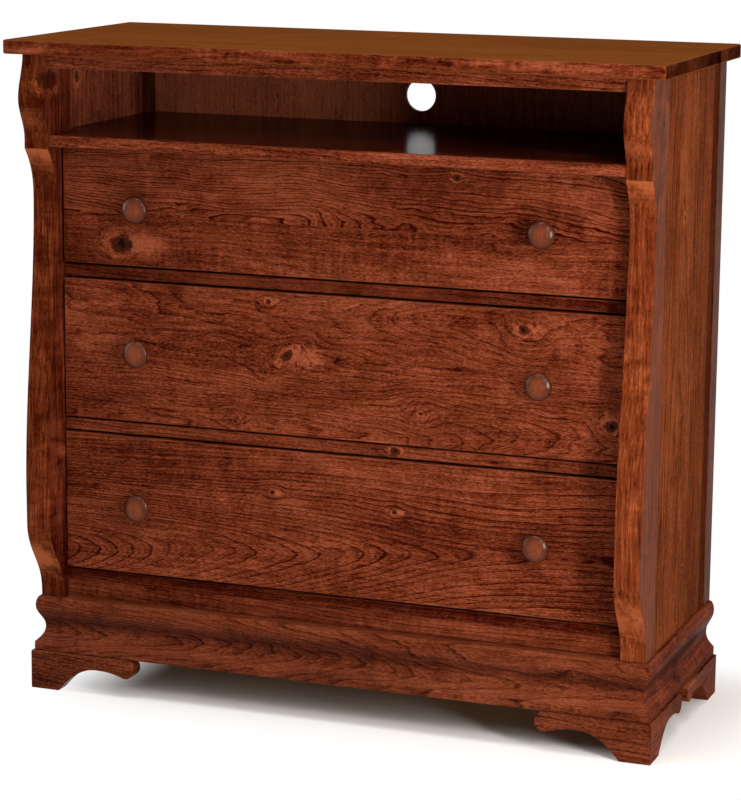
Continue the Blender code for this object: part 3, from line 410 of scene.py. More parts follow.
def cherryFinish(name, **changes):
    look = {**cherryUsual, **changes}
    wood = cherryShading
    material, tree, shader, place = newFinish(name)
    plainBoard, along, through = boardSpace(tree, place, look["turn"])
    acrossBoard = split(tree, plainBoard)[1]
    board, marks = setKnots(tree, plainBoard, look["knots"])
    looks = [look]
    for seam, boardChanges in look["boards"]:
        looks.append({**looks[-1], **boardChanges})
    masks = [calc(tree, "GREATER_THAN", acrossBoard, seam) for seam, boardChanges in look["boards"]]
    grain = put(tree, "ShaderNodeGroup", {"Vector": board}, node_tree=grainGroup)
    for label, key in grainKeys.items():
        plug(tree, grain.inputs[label], boardValue(tree, masks, [one[key] for one in looks]))
    tone = calc(tree, "ADD", grain.outputs["Tone"], boardValue(tree, masks, [one["lift"] for one in looks]))
    if marks:
        tone = calc(tree, "MULTIPLY_ADD", marks["Glow"], wood["glow"], tone)
    if look["hollow"]:  # painted shade: a darker band across the board, in a moulding's cove and on the rail under the bottom drawer
        level, width, depth = look["hollow"]
        within = calc(tree, "ABSOLUTE", calc(tree, "SUBTRACT", acrossBoard, level))
        tone = calc(tree, "SUBTRACT", tone, ease(tree, within, 0.0, width, depth, 0.0))
    colour = stainColour(tree, tone, look["stain"])
    facing = put(tree, "ShaderNodeNewGeometry").outputs["True Normal"]
    if look["edgeStain"]:
        edgeTone = calc(tree, "SUBTRACT", tone, middleTone)
        edgeTone = calc(tree, "MULTIPLY_ADD", edgeTone, look["edgeGrain"], middleTone + look["edgeLift"])
        onEdge = fall(tree, squareOn(tree, facing, through), *wood["edgeRange"])
        colour = tint(tree, "MIX", onEdge, colour, stainColour(tree, edgeTone, look["edgeStain"]))
    if look["innerStain"]:  # another stain on the faces that look one way; where light falls into the cubby it is painted light, a brighter copy of the stain
        inward = ease(tree, vecCalc(tree, "DOT_PRODUCT", facing, look["innerWay"]), *wood["innerRange"])
        colour = tint(tree, "MIX", inward, colour, stainColour(tree, tone, look["innerStain"]))
    if look["pool"]:  # painted shade darker towards the rim of a turned piece, painted light in its middle
        axis, radius = look["pool"]
        outward = vecCalc(tree, "MULTIPLY", vecCalc(tree, "SUBTRACT", place, axis), (1.0, 0.0, 1.0))
        outward = calc(tree, "DIVIDE", vecCalc(tree, "LENGTH", outward), radius)
        colour = shaded(tree, colour, ease(tree, outward, *wood["paintedDomeShadeRange"]))
    endShade = ease(tree, squareOn(tree, facing, along), *wood["endRange"], 1.0, look["endGrain"])
    colour = shaded(tree, colour, endShade)
    parts = split(tree, vecCalc(tree, "ABSOLUTE", facing))
    flattest = calc(tree, "MAXIMUM", calc(tree, "MAXIMUM", parts[0], parts[1]), parts[2])
    rubAndPaintedHighlight = ease(tree, flattest, *wood["rubAndHighlightRange"], look["worn"], 0.0)  # patches rubbed pale on the arrises, also a painted highlight along them
    patch = ease(tree, speckle(tree, place, *wood["rubAndHighlightPatch"]), *wood["patchRange"])
    lightest = (*stains[look["stain"]][2], 1.0)
    colour = tint(tree, "MIX", calc(tree, "MULTIPLY", rubAndPaintedHighlight, patch), colour, lightest)
    if marks:
        colour = tint(tree, "MIX", calc(tree, "MULTIPLY", marks["Heart"], wood["heart"]), colour, knotHeart)
        colour = tint(tree, "MIX", calc(tree, "MULTIPLY", marks["Crack"], wood["crack"]), colour, knotCrack)
    plug(tree, shader.inputs["Base Color"], colour)
    sheen = calc(tree, "MULTIPLY_ADD", grain.outputs["Line"], wood["lineRough"], look["rough"])
    sheen = calc(tree, "MULTIPLY_ADD", grain.outputs["Pore"], wood["poreRough"] * look["fleck"], sheen)
    plug(tree, shader.inputs["Roughness"], sheen)
    shader.inputs["Specular IOR Level"].default_value = look["gloss"]
    shader.inputs["Specular Tint"].default_value = (*look["shine"], 1.0)
    sinkGrain(tree, shader, grain, wood["lineDepth"], look["bump"], wood["bumpDepth"])
    return material


paleShading = {
    "pith": (0.0, 0.02, 0.09), "ringDepth": 0.16, "curl": 0.12, "fibre": 0.22, "fleck": 0.2,
    "stops": (0.1, 0.5, 0.9), "edgeRange": (0.3, 0.7), "seamRange": (0.42, 0.58), "darkPly": 0.45,
    "rough": 0.46, "lineRough": 0.12, "gloss": 0.3, "lineDepth": 0.4, "bump": 0.12, "bumpDepth": 0.0005,
}


def paleBoards(name, turn, kind, shift):  # maple and birch of the hidden boxes
    wood = paleShading
    material, tree, shader, place = newFinish(name)
    board, along, through = boardSpace(tree, place, turn, shift)
    inputs = {"Vector": board, "Pith": wood["pith"], "Ring Depth": wood["ringDepth"], "Curl": wood["curl"]}
    inputs.update({"Blotch": kind["blotch"], "Fibre": wood["fibre"], "Fleck": wood["fleck"]})
    grain = put(tree, "ShaderNodeGroup", inputs, node_tree=grainGroup)
    colour = ramp(tree, grain.outputs["Tone"], tuple(zip(wood["stops"], kind["colours"])))
    if kind["ply"]:  # the layers of the plywood show on its edges
        ply = kind["ply"]
        facing = put(tree, "ShaderNodeNewGeometry").outputs["True Normal"]
        onFace = ease(tree, squareOn(tree, facing, through), *wood["edgeRange"])
        seam = (ply * share for share in wood["seamRange"])
        layer = calc(tree, "PINGPONG", split(tree, board)[2], ply)
        layer = ease(tree, layer, *seam, wood["darkPly"], 1.0)
        hidden = calc(tree, "MULTIPLY", calc(tree, "SUBTRACT", 1.0, layer), onFace)
        colour = shaded(tree, colour, calc(tree, "ADD", layer, hidden))
    plug(tree, shader.inputs["Base Color"], colour)
    sheen = calc(tree, "MULTIPLY_ADD", grain.outputs["Line"], wood["lineRough"], wood["rough"])
    plug(tree, shader.inputs["Roughness"], sheen)
    shader.inputs["Specular IOR Level"].default_value = wood["gloss"]
    sinkGrain(tree, shader, grain, wood["lineDepth"], wood["bump"], wood["bumpDepth"])
    return material


zincShading = {
    "cloud": ((60.0, 25.0, 60.0), 3.0, 0.6), "cloudShare": 0.6, "brushed": ((1500.0, 20.0, 1500.0), 2.0, 0.5),
    "brushedShare": 0.5, "stops": (0.3, 0.7), "mixedRough": 0.18, "bump": 0.08, "bumpDepth": 0.0003,
}


def zincFinish(name, pale, deep, rough):  # plated steel, lightly brushed and clouded
    steel = zincShading
    material, tree, shader, place = newFinish(name)
    cloud = calc(tree, "MULTIPLY", speckle(tree, place, *steel["cloud"]), steel["cloudShare"])
    brushed = speckle(tree, place, *steel["brushed"])
    mixed = calc(tree, "MULTIPLY_ADD", brushed, steel["brushedShare"], cloud)
    plug(tree, shader.inputs["Base Color"], ramp(tree, mixed, tuple(zip(steel["stops"], (deep, pale)))))
    plug(tree, shader.inputs["Roughness"], calc(tree, "MULTIPLY_ADD", mixed, steel["mixedRough"], rough))
    shader.inputs["Metallic"].default_value = 1.0
    raiseFace(tree, shader, brushed, steel["bump"], steel["bumpDepth"])
    return material


# one finish for each board, in the chest's own metres
# knots are (along, across, radius, reach, flare), and some also give what plainKnot gives
# boards are (seam across the panel, what changes from there on); the painted shade band is (level, width,
# depth of tone)
finishes = {
    "top_panel": dict(
        stain="top", edgeStain="front", turn="flat", seed=(0.3, 0.0, 0.4), pith=(0.0, 0.25, 0.95), rings=90.0,
        ringDepth=0.26, curl=0.2, blotch=0.65, fibre=0.36, fleck=0.14, endGrain=0.25, gloss=0.0, rough=0.4,
        edgeGrain=2.1, edgeLift=-0.05,
        boards=((-0.12, dict(seed=(1.3, 0.2, 0.1), lift=0.05)),
                (-0.02, dict(seed=(2.4, 0.1, 0.3), lift=-0.06)),
                (0.1, dict(seed=(3.1, 0.4, 0.2), lift=0.02)))),
    "drawer_1_front": dict(
        seed=(0.6, 0.1, 0.3), pith=(0.0, 0.62, 0.12), ringDepth=0.2, curl=0.3, curlLength=105.0, blotch=1.0,
        lift=-0.07, knots=((-0.377, 0.766, 0.0145, 3.6, 0.9), (0.2, 0.905, 0.005, 4.0, 0.3)),
        boards=((0.815, dict(seed=(1.9, 0.5, 0.1), pith=(0.0, 0.802, 0.125), rings=215.0, taper=0.045,
                             ringDepth=1.0, fibre=0.75, curl=0.35, curlLength=50.0, wander=0.026)),)),
    "drawer_2_front": dict(
        seed=(1.7, 0.6, 0.8), pith=(0.0, 0.49, 0.12), rings=200.0, taper=0.06, wander=0.018, lift=-0.02,
        knots=((-0.085, 0.602, 0.012, 6.0, 0.75, -0.7, 2.0, 0.0, 0.0), (0.313, 0.672, 0.007, 9.0, 0.5),
               (-0.117, 0.688, 0.004, 8.0, 0.4), (0.458, 0.531, 0.009, 5.0, 0.1),
               (-0.175, 0.487, 0.0026, 16.0, 0.0), (0.145, 0.526, 0.0026, 18.0, 0.0)),
        boards=((0.57, dict(seed=(2.7, 0.2, 0.5), pith=(0.0, 0.66, 0.10), rings=170.0, taper=-0.07,
                            ringDepth=0.42, wander=0.022)),)),
    "drawer_3_front": dict(
        seed=(3.1, 0.3, 1.4), pith=(0.0, 0.279, 0.131), rings=150.0, taper=0.19, ringDepth=0.7, wander=0.008,
        lean=0.083, archEnd=0.24, lift=-0.06,
        knots=((-0.109, 0.374, 0.0034, 8.0, 1.0), (0.103, 0.361, 0.0032, 8.0, 1.0))),
    "left_front_post": dict(
        stain="post", turn="upright", seed=(0.2, 0.0, 2.2), pith=(0.0, -0.43, -0.1), taper=0.008, rings=300.0,
        ringDepth=0.3, edgeStain="front", innerStain="side", innerWay=(-1, 0, 0), worn=0.8, arris=0.002,
        curl=0.4, lift=-0.28, gloss=0.012, rough=0.28, fibre=0.5, streak=2.4,
        knots=((1.033, -0.49, 0.0125, 3.2, 0.5, 0.0, 1.3, -0.2, 0.45),)),
    "right_front_post": dict(
        stain="post", turn="upright", seed=(1.1, 0.0, 3.1), pith=(0.0, 0.42, -0.1), taper=0.008, rings=300.0,
        ringDepth=0.26, edgeStain="side", worn=0.6, arris=0.002, blotch=0.5, fibre=0.4, streak=3.2,
        fleck=0.12, curl=0.5, curlLength=36.0, lift=-0.1, gloss=0.004, rough=0.28),
    "left_rear_post": dict(
        stain="rear", turn="uprightSide", seed=(2.4, 0.0, 0.0), pith=(0.0, 0.32, 0.42), taper=0.01),
    "right_rear_post": dict(
        stain="rear", turn="uprightSide", seed=(4.4, 0.1, 0.0), pith=(0.0, 0.32, -0.42), taper=0.01),
    # the side panels' inner faces take a brighter stain: painted light where it falls into the cubby
    "left_side_panel": dict(
        stain="side", turn="uprightSide", seed=(1.4, 0.2, 1.0), pith=(0.0, 0.03, 0.42), rings=120.0,
        ringDepth=0.45, curl=0.15, blotch=0.8, gloss=0.0004, innerStain="inside", innerWay=(1, 0, 0),
        knots=((1.027, -0.06, 0.0075, 4.0, 0.2), (1.036, 0.01, 0.0022, 6.0, 0.0)),
        boards=((-0.03, dict(seed=(5.1, 0.3, 0.2), lift=-0.05)),
                (0.08, dict(seed=(6.2, 0.5, 0.7), lift=0.04)),
                (0.1625, dict(seed=(7.3, 0.1, 0.4), lift=-0.4)))),
    "right_side_panel": dict(
        stain="side", turn="uprightSide", seed=(0.3, 0.1, 4.0), pith=(0.0, -0.01, -0.44), rings=120.0,
        ringDepth=0.45, curl=0.15, blotch=0.8, gloss=0.0004, innerStain="inside", innerWay=(-1, 0, 0),
        knots=((0.84, 0.0, 0.0045, 4.5, 0.0), (0.26, 0.05, 0.004, 4.5, 0.0)),
        boards=((-0.04, dict(seed=(3.7, 0.2, 0.6), lift=0.04)),
                (0.07, dict(seed=(8.4, 0.6, 0.1), lift=-0.04)),
                (0.1625, dict(seed=(9.2, 0.4, 0.2), lift=-0.4)))),
    # the back panel's front face takes a brighter stain: painted light where it falls into the cubby
    "back_panel": dict(
        stain="side", innerStain="lit", innerWay=(0, -1, 0), turn="upright", seed=(0.7, 0.0, 5.0),
        pith=(0.0, 0.1, 0.3), rings=110.0, ringDepth=0.3, curl=0.15, fibre=0.7, fleck=0.5, blotch=0.7),
    "media_shelf": dict(
        turn="flat", seed=(2.1, 0.3, 0.0), pith=(0.0, 0.1, 0.8), lift=-0.24, gloss=0.012, rough=0.15,
        bump=0.02, edgeStain="front", edgeLift=0.3, shine=(1.0, 0.7, 0.4)),
    "top_rail": dict(seed=(4.7, 0.0, 0.2), pith=(0.0, 0.95, 0.1)),
    "upper_drawer_rail": dict(seed=(5.3, 0.0, 0.6), pith=(0.0, 0.62, 0.1), lift=-0.26, fibre=0.7),
    "lower_drawer_rail": dict(
        seed=(6.1, 0.0, 0.9), pith=(0.0, 0.38, 0.1), knots=((0.1, 0.4585, 0.007, 3.5, 0.2),)),
    "bottom_rail": dict(  # the skirt below the seam, the rail above it
        # the band at the rail's top is painted shadow under the bottom drawer front
        seed=(7.2, 0.0, 1.2), pith=(0.0, 0.12, 0.1), fibre=0.7, hollow=(0.209, 0.026, 0.28),
        boards=((0.1899, dict(seed=(8.6, 0.3, 0.7), pith=(0.0, 0.1, 0.1), lift=-0.2)),)),
    # the mouldings' bands are painted shade in the cove
    "front_base_moulding": dict(
        stain="base", seed=(8.2, 0.0, 1.6), pith=(0.0, 0.09, 0.1), rings=170.0, taper=0.09, wander=0.02,
        ringDepth=0.55, fibre=0.75, gloss=0.03, rough=0.32, worn=0.15, lift=0.05,
        hollow=(0.121, 0.022, 0.32)),
    "left_base_moulding": dict(
        stain="base", turn="inward", seed=(9.1, 0.0, 2.0), pith=(0.0, 0.6, -0.2), ringDepth=0.2, gloss=0.003,
        worn=0.15, hollow=(0.121, 0.022, 0.3)),
    "right_base_moulding": dict(
        stain="base", turn="inward", seed=(9.9, 0.0, 2.4), pith=(0.0, 0.6, 0.2), ringDepth=0.2, gloss=0.003,
        worn=0.15, lift=-0.12, hollow=(0.121, 0.022, 0.3)),
    "rear_base_rail": dict(stain="base", seed=(10.4, 0.0, 2.8), pith=(0.0, 0.02, -0.3), ringDepth=0.3),
}
longFeet = [f"front_{hand}_foot_front" for hand in hands] + [f"rear_{hand}_foot_back" for hand in hands]
sideFeet = [f"{end}_{hand}_foot_side" for end in ("front", "rear") for hand in hands]
longFinish = dict(stain="base", pith=(0.0, -0.03, 0.15), gloss=0.03, taper=0.05)
sideFinish = dict(stain="base", turn="inward", pith=(0.0, -0.03, 0.5), gloss=0.004)
for feet, firstSeed, look in ((longFeet, 11.3, longFinish), (sideFeet, 17.6, sideFinish)):
    for number, foot in enumerate(feet):
        finishes[foot] = dict(seed=(firstSeed + number, 0.1, 0.5), **look)

knobGrain = dict(
    stain="knob", turn="upright", pith=(0.0, 0.2, 0.05), taper=0.02, curl=0.2, rings=300.0, ringDepth=0.2,
    gloss=0.14, rough=0.2, bump=0.0, worn=0.0, endGrain=0.75, blotch=0.5, fibre=0.3, fleck=0.03)
maple = {"blotch": 0.5, "ply": 0.0,
         "colours": ((0.44, 0.28, 0.145), (0.60, 0.41, 0.235), (0.70, 0.52, 0.33))}
birch = {"blotch": 0.35, "ply": 0.0015,
         "colours": ((0.40, 0.26, 0.14), (0.55, 0.38, 0.22), (0.64, 0.47, 0.29))}
zinc = zincFinish("zincPlate", (0.66, 0.67, 0.68), (0.44, 0.45, 0.47), 0.28)
screwSteel = zincFinish("screwSteel", (0.55, 0.54, 0.50), (0.36, 0.35, 0.33), 0.24)
print("finishes ready")


def addPiece(name, mesh, body, material):
    mesh.materials.clear()
    mesh.materials.append(material)
    piece = bpy.data.objects.new(name, mesh)
    bpy.context.scene.collection.objects.link(piece)
    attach(piece, body)
    return piece


shaping = {"mergeGap": 2e-5, "flatAngle": 0.4, "smoothAngle": 33.0, "openEdge": 3.0,
           "easeAngle": 42.0, "easeSteps": 2}


def shapedCopy(node, material, arris):  # the board with its arrises eased and its curves smooth
    mesh = nodes[node].data.copy()
    mesh.name = node + "_shaped"
    shape = bmesh.new()
    shape.from_mesh(mesh)
    bmesh.ops.remove_doubles(shape, verts=shape.verts, dist=shaping["mergeGap"])
    flat = math.radians(shaping["flatAngle"])
    bmesh.ops.dissolve_limit(shape, angle_limit=flat, verts=shape.verts, edges=shape.edges)
    for face in shape.faces:
        face.smooth = True
    for edge in shape.edges:
        edge.smooth = edge.calc_face_angle(shaping["openEdge"]) < math.radians(shaping["smoothAngle"])
    shape.to_mesh(mesh)
    shape.free()
    piece = addPiece(node + "_shaped", mesh, bodyOf[node], material)
    eased = piece.modifiers.new("easedArris", "BEVEL")
    eased.width = arris
    eased.segments = shaping["easeSteps"]
    eased.limit_method = "ANGLE"
    eased.angle_limit = math.radians(shaping["easeAngle"])
    piece.modifiers.new("evenFaces", "WEIGHTED_NORMAL").keep_sharp = True
    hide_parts(node)


for node, look in finishes.items():
    shapedCopy(node, cherryFinish(node + "_cherry", **look), {**cherryUsual, **look}["arris"])
print("cherry boards:", len(finishes))

hiddenBoards = {  # steps and shifts give each board its own grain
    "mapleStep": 1.7, "birchStep": 2.3, "backerShift": (3.3, 0.6, 0.0),
    "mapleArris": 0.0004, "bottomArris": 0.0003, "backerArris": 0.0004, "zincArris": 0.00025,
}
mapleNumber = 0
for drawer in drawers:
    for part, turn in (("left_side", "inward"), ("right_side", "inward"), ("back", "sideways")):
        node = f"{drawer}_{part}"
        mapleNumber += 1
        shift = (hiddenBoards["mapleStep"] * mapleNumber, 0.3, 0.4)
        shapedCopy(node, paleBoards(node + "_maple", turn, maple, shift), hiddenBoards["mapleArris"])
    node = f"{drawer}_bottom"
    shift = (hiddenBoards["birchStep"] * mapleNumber, 0.1, 0.2)
    shapedCopy(node, paleBoards(node + "_birch", "flat", birch, shift), hiddenBoards["bottomArris"])
for node in ("left_slide_backer", "right_slide_backer"):
    ply = paleBoards(node + "_birch", "uprightSide", birch, hiddenBoards["backerShift"])
    shapedCopy(node, ply, hiddenBoards["backerArris"])
for node, slotName in slotOf.items():
    if slotName == "zinc_steel":
        shapedCopy(node, zinc, hiddenBoards["zincArris"])
print("drawer boxes and slides dressed")


knob = {  # shares of the knob's radius and depth, from the drawer face out
    "steps": 72, "mergeGap": 1e-5, "seed": (20.0, 0.37, 0.2),
    "profile": (
        (0.0, 0.0), (0.53, 0.0), (0.545, 0.02), (0.545, 0.05), (0.52, 0.075), (0.45, 0.12), (0.42, 0.19),
        (0.42, 0.28), (0.445, 0.36), (0.52, 0.43), (0.66, 0.48), (0.82, 0.51), (0.93, 0.537),
        (0.985, 0.576), (1.0, 0.618), (0.992, 0.66), (0.962, 0.702), (0.9, 0.748), (0.78, 0.817),
        (0.62, 0.888), (0.43, 0.946), (0.22, 0.986), (0.0, 1.0)),
}


def turnedKnob(node, number):
    low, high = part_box(node)
    radius = (high.x - low.x) / 2
    centre = (low + high) / 2
    shape = bmesh.new()
    path = [shape.verts.new((centre.x + share * radius, high.y - deep * (high.y - low.y), centre.z))
            for share, deep in knob["profile"]]
    edges = [shape.edges.new(pair) for pair in zip(path, path[1:])]
    bmesh.ops.spin(shape, geom=path + edges, cent=(centre.x, 0, centre.z), axis=(0, 1, 0), angle=math.tau,
                   steps=knob["steps"], use_duplicate=False)
    bmesh.ops.remove_doubles(shape, verts=shape.verts, dist=knob["mergeGap"])
    bmesh.ops.recalc_face_normals(shape, faces=shape.faces)
    for face in shape.faces:
        face.smooth = True
    mesh = bpy.data.meshes.new(node + "_turned")
    shape.to_mesh(mesh)
    shape.free()
    first, step, last = knob["seed"]
    seed = (first + number, step * number, last)
    # rim darkening and a lighter middle: painted shade and painted light on the knob
    finish = cherryFinish(node + "_cherry", seed=seed, pool=(tuple(centre), radius), **knobGrain)
    piece = addPiece(node + "_turned", mesh, bodyOf[node], finish)
    rounder = piece.modifiers.new("rounder", "SUBSURF")
    rounder.levels = 1
    rounder.render_levels = 1
    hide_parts(node)


knobNodes = [f"{drawer}_{hand}_knob" for drawer in drawers for hand in hands]
for number, node in enumerate(knobNodes):
    turnedKnob(node, number)
print("knobs turned")


screws = {
    "slide": {"radius": 0.0036, "height": 0.0011, "recess": 0.0011},
    "knob": {"radius": 0.0055, "height": 0.0024, "recess": 0.0016},
    "back": {"radius": 0.0034, "height": 0.0005, "recess": 0.0009},
    "slidePlaces": (-0.105, 0.02, 0.165), "slideWeb": 0.0012,
    "backPlaces": (0.04, 0.2, 0.36, 0.52, 0.68, 0.84, 0.96), "backInset": 0.012,
    "slot": "zinc_steel", "armLength": 1.15, "recessDepth": 1.3,
    "spin": {"Min": 0.0, "Max": 1.57, "Seed": 4}, "ball": {"Segments": 24, "Rings": 12, "Radius": 1.0},
}
screwSizes = {"Head Radius": "radius", "Head Height": "height", "Recess Width": "recess"}


def makeScrewTree():  # cross-recessed heads set on points, each facing the way its point says
    tree = bpy.data.node_groups.new("screwHeads", "GeometryNodeTree")
    tree.interface.new_socket(name="Points", in_out="INPUT", socket_type="NodeSocketGeometry")
    for label in screwSizes:
        tree.interface.new_socket(name=label, in_out="INPUT", socket_type="NodeSocketFloat")
    tree.interface.new_socket(name="Steel", in_out="INPUT", socket_type="NodeSocketMaterial")
    tree.interface.new_socket(name="Heads", in_out="OUTPUT", socket_type="NodeSocketGeometry")
    given = tree.nodes.new("NodeGroupInput").outputs
    end = tree.nodes.new("NodeGroupOutput").inputs
    radius, height, recess = (given[label] for label in screwSizes)
    ball = put(tree, "GeometryNodeMeshUVSphere", screws["ball"]).outputs["Mesh"]
    squat = join(tree, radius, radius, height)
    dome = put(tree, "GeometryNodeTransform", {"Geometry": ball, "Scale": squat}).outputs[0]
    arm = calc(tree, "MULTIPLY", radius, screws["armLength"])
    deep = calc(tree, "MULTIPLY", height, screws["recessDepth"])
    cut = put(tree, "GeometryNodeMeshBoolean", {"Mesh 1": dome}, operation="DIFFERENCE")
    for wide, tall in ((arm, recess), (recess, arm)):
        bar = put(tree, "GeometryNodeMeshCube", {"Size": join(tree, wide, tall, deep)}).outputs["Mesh"]
        raised = {"Geometry": bar, "Translation": join(tree, z=height)}
        tree.links.new(put(tree, "GeometryNodeTransform", raised).outputs[0], cut.inputs["Mesh 2"])
    facing = put(tree, "GeometryNodeInputNamedAttribute", {"Name": "facing"}, data_type="FLOAT_VECTOR")
    turn = put(tree, "FunctionNodeAlignRotationToVector", {"Vector": facing.outputs[0]}, axis="Z").outputs[0]
    angle = put(tree, "FunctionNodeRandomValue", screws["spin"], data_type="FLOAT").outputs[1]
    spin = put(tree, "FunctionNodeAxisAngleToRotation", {"Axis": (0.0, 0.0, 1.0), "Angle": angle}).outputs[0]
    turning = {"Rotation": turn, "Rotate By": spin}
    turned = put(tree, "FunctionNodeRotateRotation", turning, rotation_space="LOCAL")
    driven = {"Points": given["Points"], "Instance": cut.outputs[0], "Rotation": turned.outputs[0]}
    heads = put(tree, "GeometryNodeInstanceOnPoints", driven).outputs[0]
    real = put(tree, "GeometryNodeRealizeInstances", {"Geometry": heads}).outputs[0]
    painted = put(tree, "GeometryNodeSetMaterial", {"Geometry": real, "Material": given["Steel"]}).outputs[0]
    plug(tree, end["Heads"], painted)
    return tree


screwTree = makeScrewTree()


def drivenScrews(name, body, size, places):  # places are (point, facing) pairs
    mesh = bpy.data.meshes.new(name + "_points")
    mesh.from_pydata([point for point, facing in places], [], [])
    facings = mesh.attributes.new("facing", "FLOAT_VECTOR", "POINT")
    for item, (point, facing) in zip(facings.data, places):
        item.vector = facing
    helper = bpy.data.objects.new(name + "_points", mesh)
    bpy.context.scene.collection.objects.link(helper)
    modifier = helper.modifiers.new("heads", "NODES")
    modifier.node_group = screwTree
    inputs = [item for item in screwTree.interface.items_tree if item.in_out == "INPUT"]
    sockets = {item.name: item.identifier for item in inputs}
    for label, key in screwSizes.items():
        modifier[sockets[label]] = size[key]
    modifier[sockets["Steel"]] = screwSteel
    graph = bpy.context.evaluated_depsgraph_get()
    made = bpy.data.meshes.new_from_object(helper.evaluated_get(graph))
    made.name = name
    bpy.data.objects.remove(helper)
    addPiece(name, made, body, screwSteel)


def slideScrewPlaces(nodeName, outer):  # on the web of a slide channel, driven sideways
    low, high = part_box(nodeName)
    onRight = low.x > 0
    height = (low.z + high.z) / 2
    if onRight == outer:
        x, facing = high.x - screws["slideWeb"], (-1, 0, 0)
    else:
        x, facing = low.x + screws["slideWeb"], (1, 0, 0)
    return [((x, y, height), facing) for y in screws["slidePlaces"]]


caseScrews = []
for drawer in drawers:
    slideScrews = []
    knobScrews = []
    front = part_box(drawer + "_front")[1].y
    for hand in hands:
        caseScrews += slideScrewPlaces(f"{drawer}_{hand}_slide_outer", True)
        slideScrews += slideScrewPlaces(f"{drawer}_{hand}_slide_inner", False)
        low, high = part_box(f"{drawer}_{hand}_knob")
        knobScrews.append((((low.x + high.x) / 2, front, (low.z + high.z) / 2), (0, 1, 0)))
    drivenScrews(drawer + "_slide_screws", drawer, screws["slide"], slideScrews)
    drivenScrews(drawer + "_knob_screws", drawer, screws["knob"], knobScrews)
drivenScrews("case_slide_screws", "case", screws["slide"], caseScrews)
panelLow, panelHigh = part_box("back_panel")
backScrews = []
for share in screws["backPlaces"]:
    z = panelLow.z + share * (panelHigh.z - panelLow.z)
    for x in (panelLow.x + screws["backInset"], panelHigh.x - screws["backInset"]):
        backScrews.append(((x, panelHigh.y - screws["back"]["height"], z), (0, 1, 0)))
drivenScrews("back_panel_screws", "case", screws["back"], backScrews)
print("screws driven")


# studio: pale floor, soft lamps, the photograph's viewing angle

studio = {
    "floorSize": 60.0, "floorColour": (0.93, 0.92, 0.91, 1.0), "mottle": ((3.0, 3.0, 3.0), 3.0, 0.5),
    "mottleDepth": 0.03, "mottleColour": (0.9, 0.9, 0.9, 1.0), "white": (1.0, 1.0, 1.0, 1.0),
    "shadeMiddle": (0.10, 0.055, 0.0), "shadeHalf": (0.46, 0.165, 0.0), "whiteRange": (0.0, 0.19),
    "horizon": (0.03, 0.02, 0.008, 1.0), "behind": (0.28, 0.105, 0.036, 1.0), "behindRange": (0.6, 0.9),
    "overhead": (0.56, 0.55, 0.53, 1.0), "overheadRange": (0.2, 0.95),
}
lamps = {  # place, aim, width, height, watts, colour
    "leftStrip": ((-2.1, -0.4, 1.6), (-0.35, -0.17, 0.75), 0.6, 2.2, 15.0, (1.0, 0.97, 0.94)),
    "rightSoftbox": ((1.785, -1.2, 0.86), (0.1, -0.1, 0.75), 0.28, 0.95, 35.0, (1.0, 0.96, 0.92)),
    "highRightSoftbox": ((1.75, -1.9, 2.4), (0.1, -0.1, 0.7), 0.8, 1.1, 20.0, (1.0, 0.96, 0.92)),
    "overheadSoftbox": ((0.2, -0.55, 3.0), (0.0, -0.05, 0.5), 2.0, 1.0, 44.0, (1.0, 0.98, 0.96)),
}


def backdropRays(tree):  # the rays that see a white backdrop; it casts no light of its own
    rays = put(tree, "ShaderNodeLightPath").outputs
    seen = calc(tree, "MAXIMUM", rays["Is Camera Ray"], rays["Is Transmission Ray"])
    return calc(tree, "MAXIMUM", seen, rays["Is Glossy Ray"])


def layFloor():
    shape = bmesh.new()
    bmesh.ops.create_grid(shape, x_segments=2, y_segments=2, size=studio["floorSize"])
    mesh = bpy.data.meshes.new("studioFloor")
    shape.to_mesh(mesh)
    shape.free()
    floor = bpy.data.objects.new("studioFloor", mesh)
    bpy.context.scene.collection.objects.link(floor)
    material = bpy.data.materials.new("paleFloor")
    material.use_nodes = True
    tree = material.node_tree
    tree.nodes.clear()
    place = put(tree, "ShaderNodeTexCoord").outputs["Object"]
    mottle = calc(tree, "MULTIPLY", speckle(tree, place, *studio["mottle"]), studio["mottleDepth"])
    colour = tint(tree, "MULTIPLY", mottle, studio["floorColour"], studio["mottleColour"])
    matt = put(tree, "ShaderNodeBsdfDiffuse", {"Color": colour}).outputs[0]
    white = put(tree, "ShaderNodeEmission", {"Color": studio["white"], "Strength": 1.0}).outputs[0]
    beyond = vecCalc(tree, "ABSOLUTE", vecCalc(tree, "SUBTRACT", place, studio["shadeMiddle"]))
    beyond = vecCalc(tree, "SUBTRACT", beyond, studio["shadeHalf"])
    beyond = vecCalc(tree, "LENGTH", vecCalc(tree, "MAXIMUM", beyond, (0.0, 0.0, 0.0)))
    away = ease(tree, beyond, *studio["whiteRange"])  # the shadow stays near the chest, plain white beyond
    shown = calc(tree, "MULTIPLY", away, backdropRays(tree))
    mixed = put(tree, "ShaderNodeMixShader", {0: shown, 1: matt, 2: white}).outputs[0]
    plug(tree, put(tree, "ShaderNodeOutputMaterial").inputs["Surface"], mixed)
    mesh.materials.append(material)


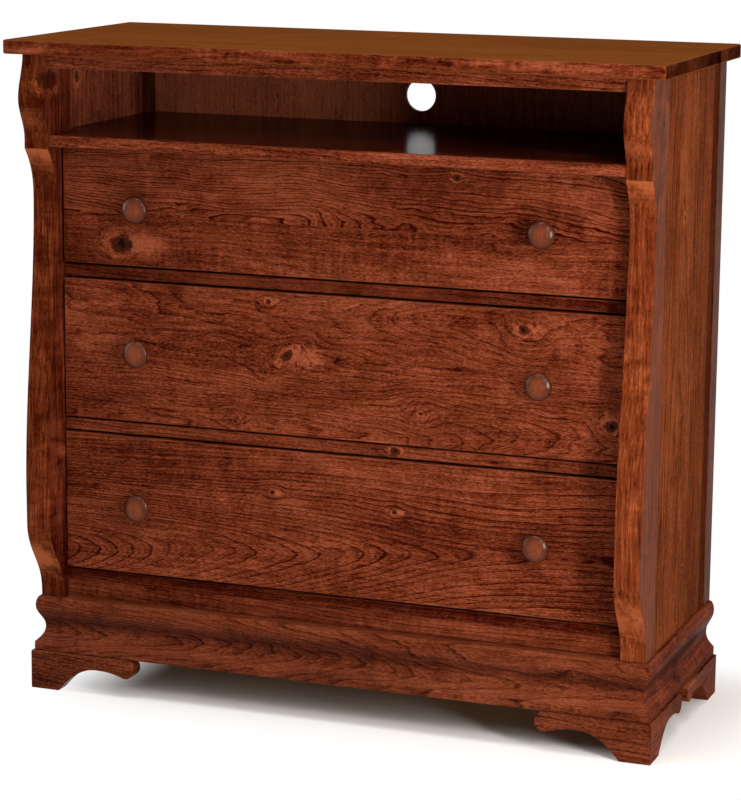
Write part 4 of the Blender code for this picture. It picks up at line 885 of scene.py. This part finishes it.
def hangLamps():
    for name, (place, aim, width, height, watts, colour) in lamps.items():
        data = bpy.data.lights.new(name, "AREA")
        data.shape = "RECTANGLE"
        data.size = width
        data.size_y = height
        data.energy = watts
        data.color = colour
        lamp = bpy.data.objects.new(name, data)
        lamp.location = place
        lamp.rotation_euler = (Vector(aim) - Vector(place)).to_track_quat("-Z", "Y").to_euler()
        bpy.context.scene.collection.objects.link(lamp)


def fillWorld():
    world = bpy.data.worlds.new("studioRoom")
    bpy.context.scene.world = world
    world.use_nodes = True
    tree = world.node_tree
    way = split(tree, put(tree, "ShaderNodeTexCoord").outputs["Generated"])
    low = tint(tree, "MIX", ease(tree, way[1], *studio["behindRange"]), studio["horizon"], studio["behind"])
    room = tint(tree, "MIX", ease(tree, way[2], *studio["overheadRange"]), low, studio["overhead"])
    seen = tint(tree, "MIX", backdropRays(tree), room, studio["white"])
    plug(tree, tree.nodes["Background"].inputs["Color"], seen)


photoCamera = {"place": (1.6286, -4.3103, 1.4400), "yaw": -20.706, "pitch": -10.966, "roll": 0.515,
               "focalPixels": 2838.1, "imageHeight": 800.0, "sensor": 36.0, "shiftY": -0.03, "clipEnd": 200.0}


def placeCamera():
    data = bpy.data.cameras.new("photoCamera")
    data.sensor_width = photoCamera["sensor"]
    data.lens = photoCamera["focalPixels"] * photoCamera["sensor"] / photoCamera["imageHeight"]
    data.shift_y = photoCamera["shiftY"]
    data.clip_end = photoCamera["clipEnd"]
    camera = bpy.data.objects.new("photoCamera", data)
    turn = Matrix.Rotation(math.radians(-photoCamera["yaw"]), 4, "Z")
    turn = turn @ Matrix.Rotation(math.radians(90.0 + photoCamera["pitch"]), 4, "X")
    turn = turn @ Matrix.Rotation(math.radians(photoCamera["roll"]), 4, "Z")
    camera.matrix_world = Matrix.Translation(photoCamera["place"]) @ turn
    bpy.context.scene.collection.objects.link(camera)
    bpy.context.scene.camera = camera


layFloor()
hangLamps()
fillWorld()
placeCamera()
bpy.context.scene.view_settings.view_transform = "Standard"
print("studio ready")
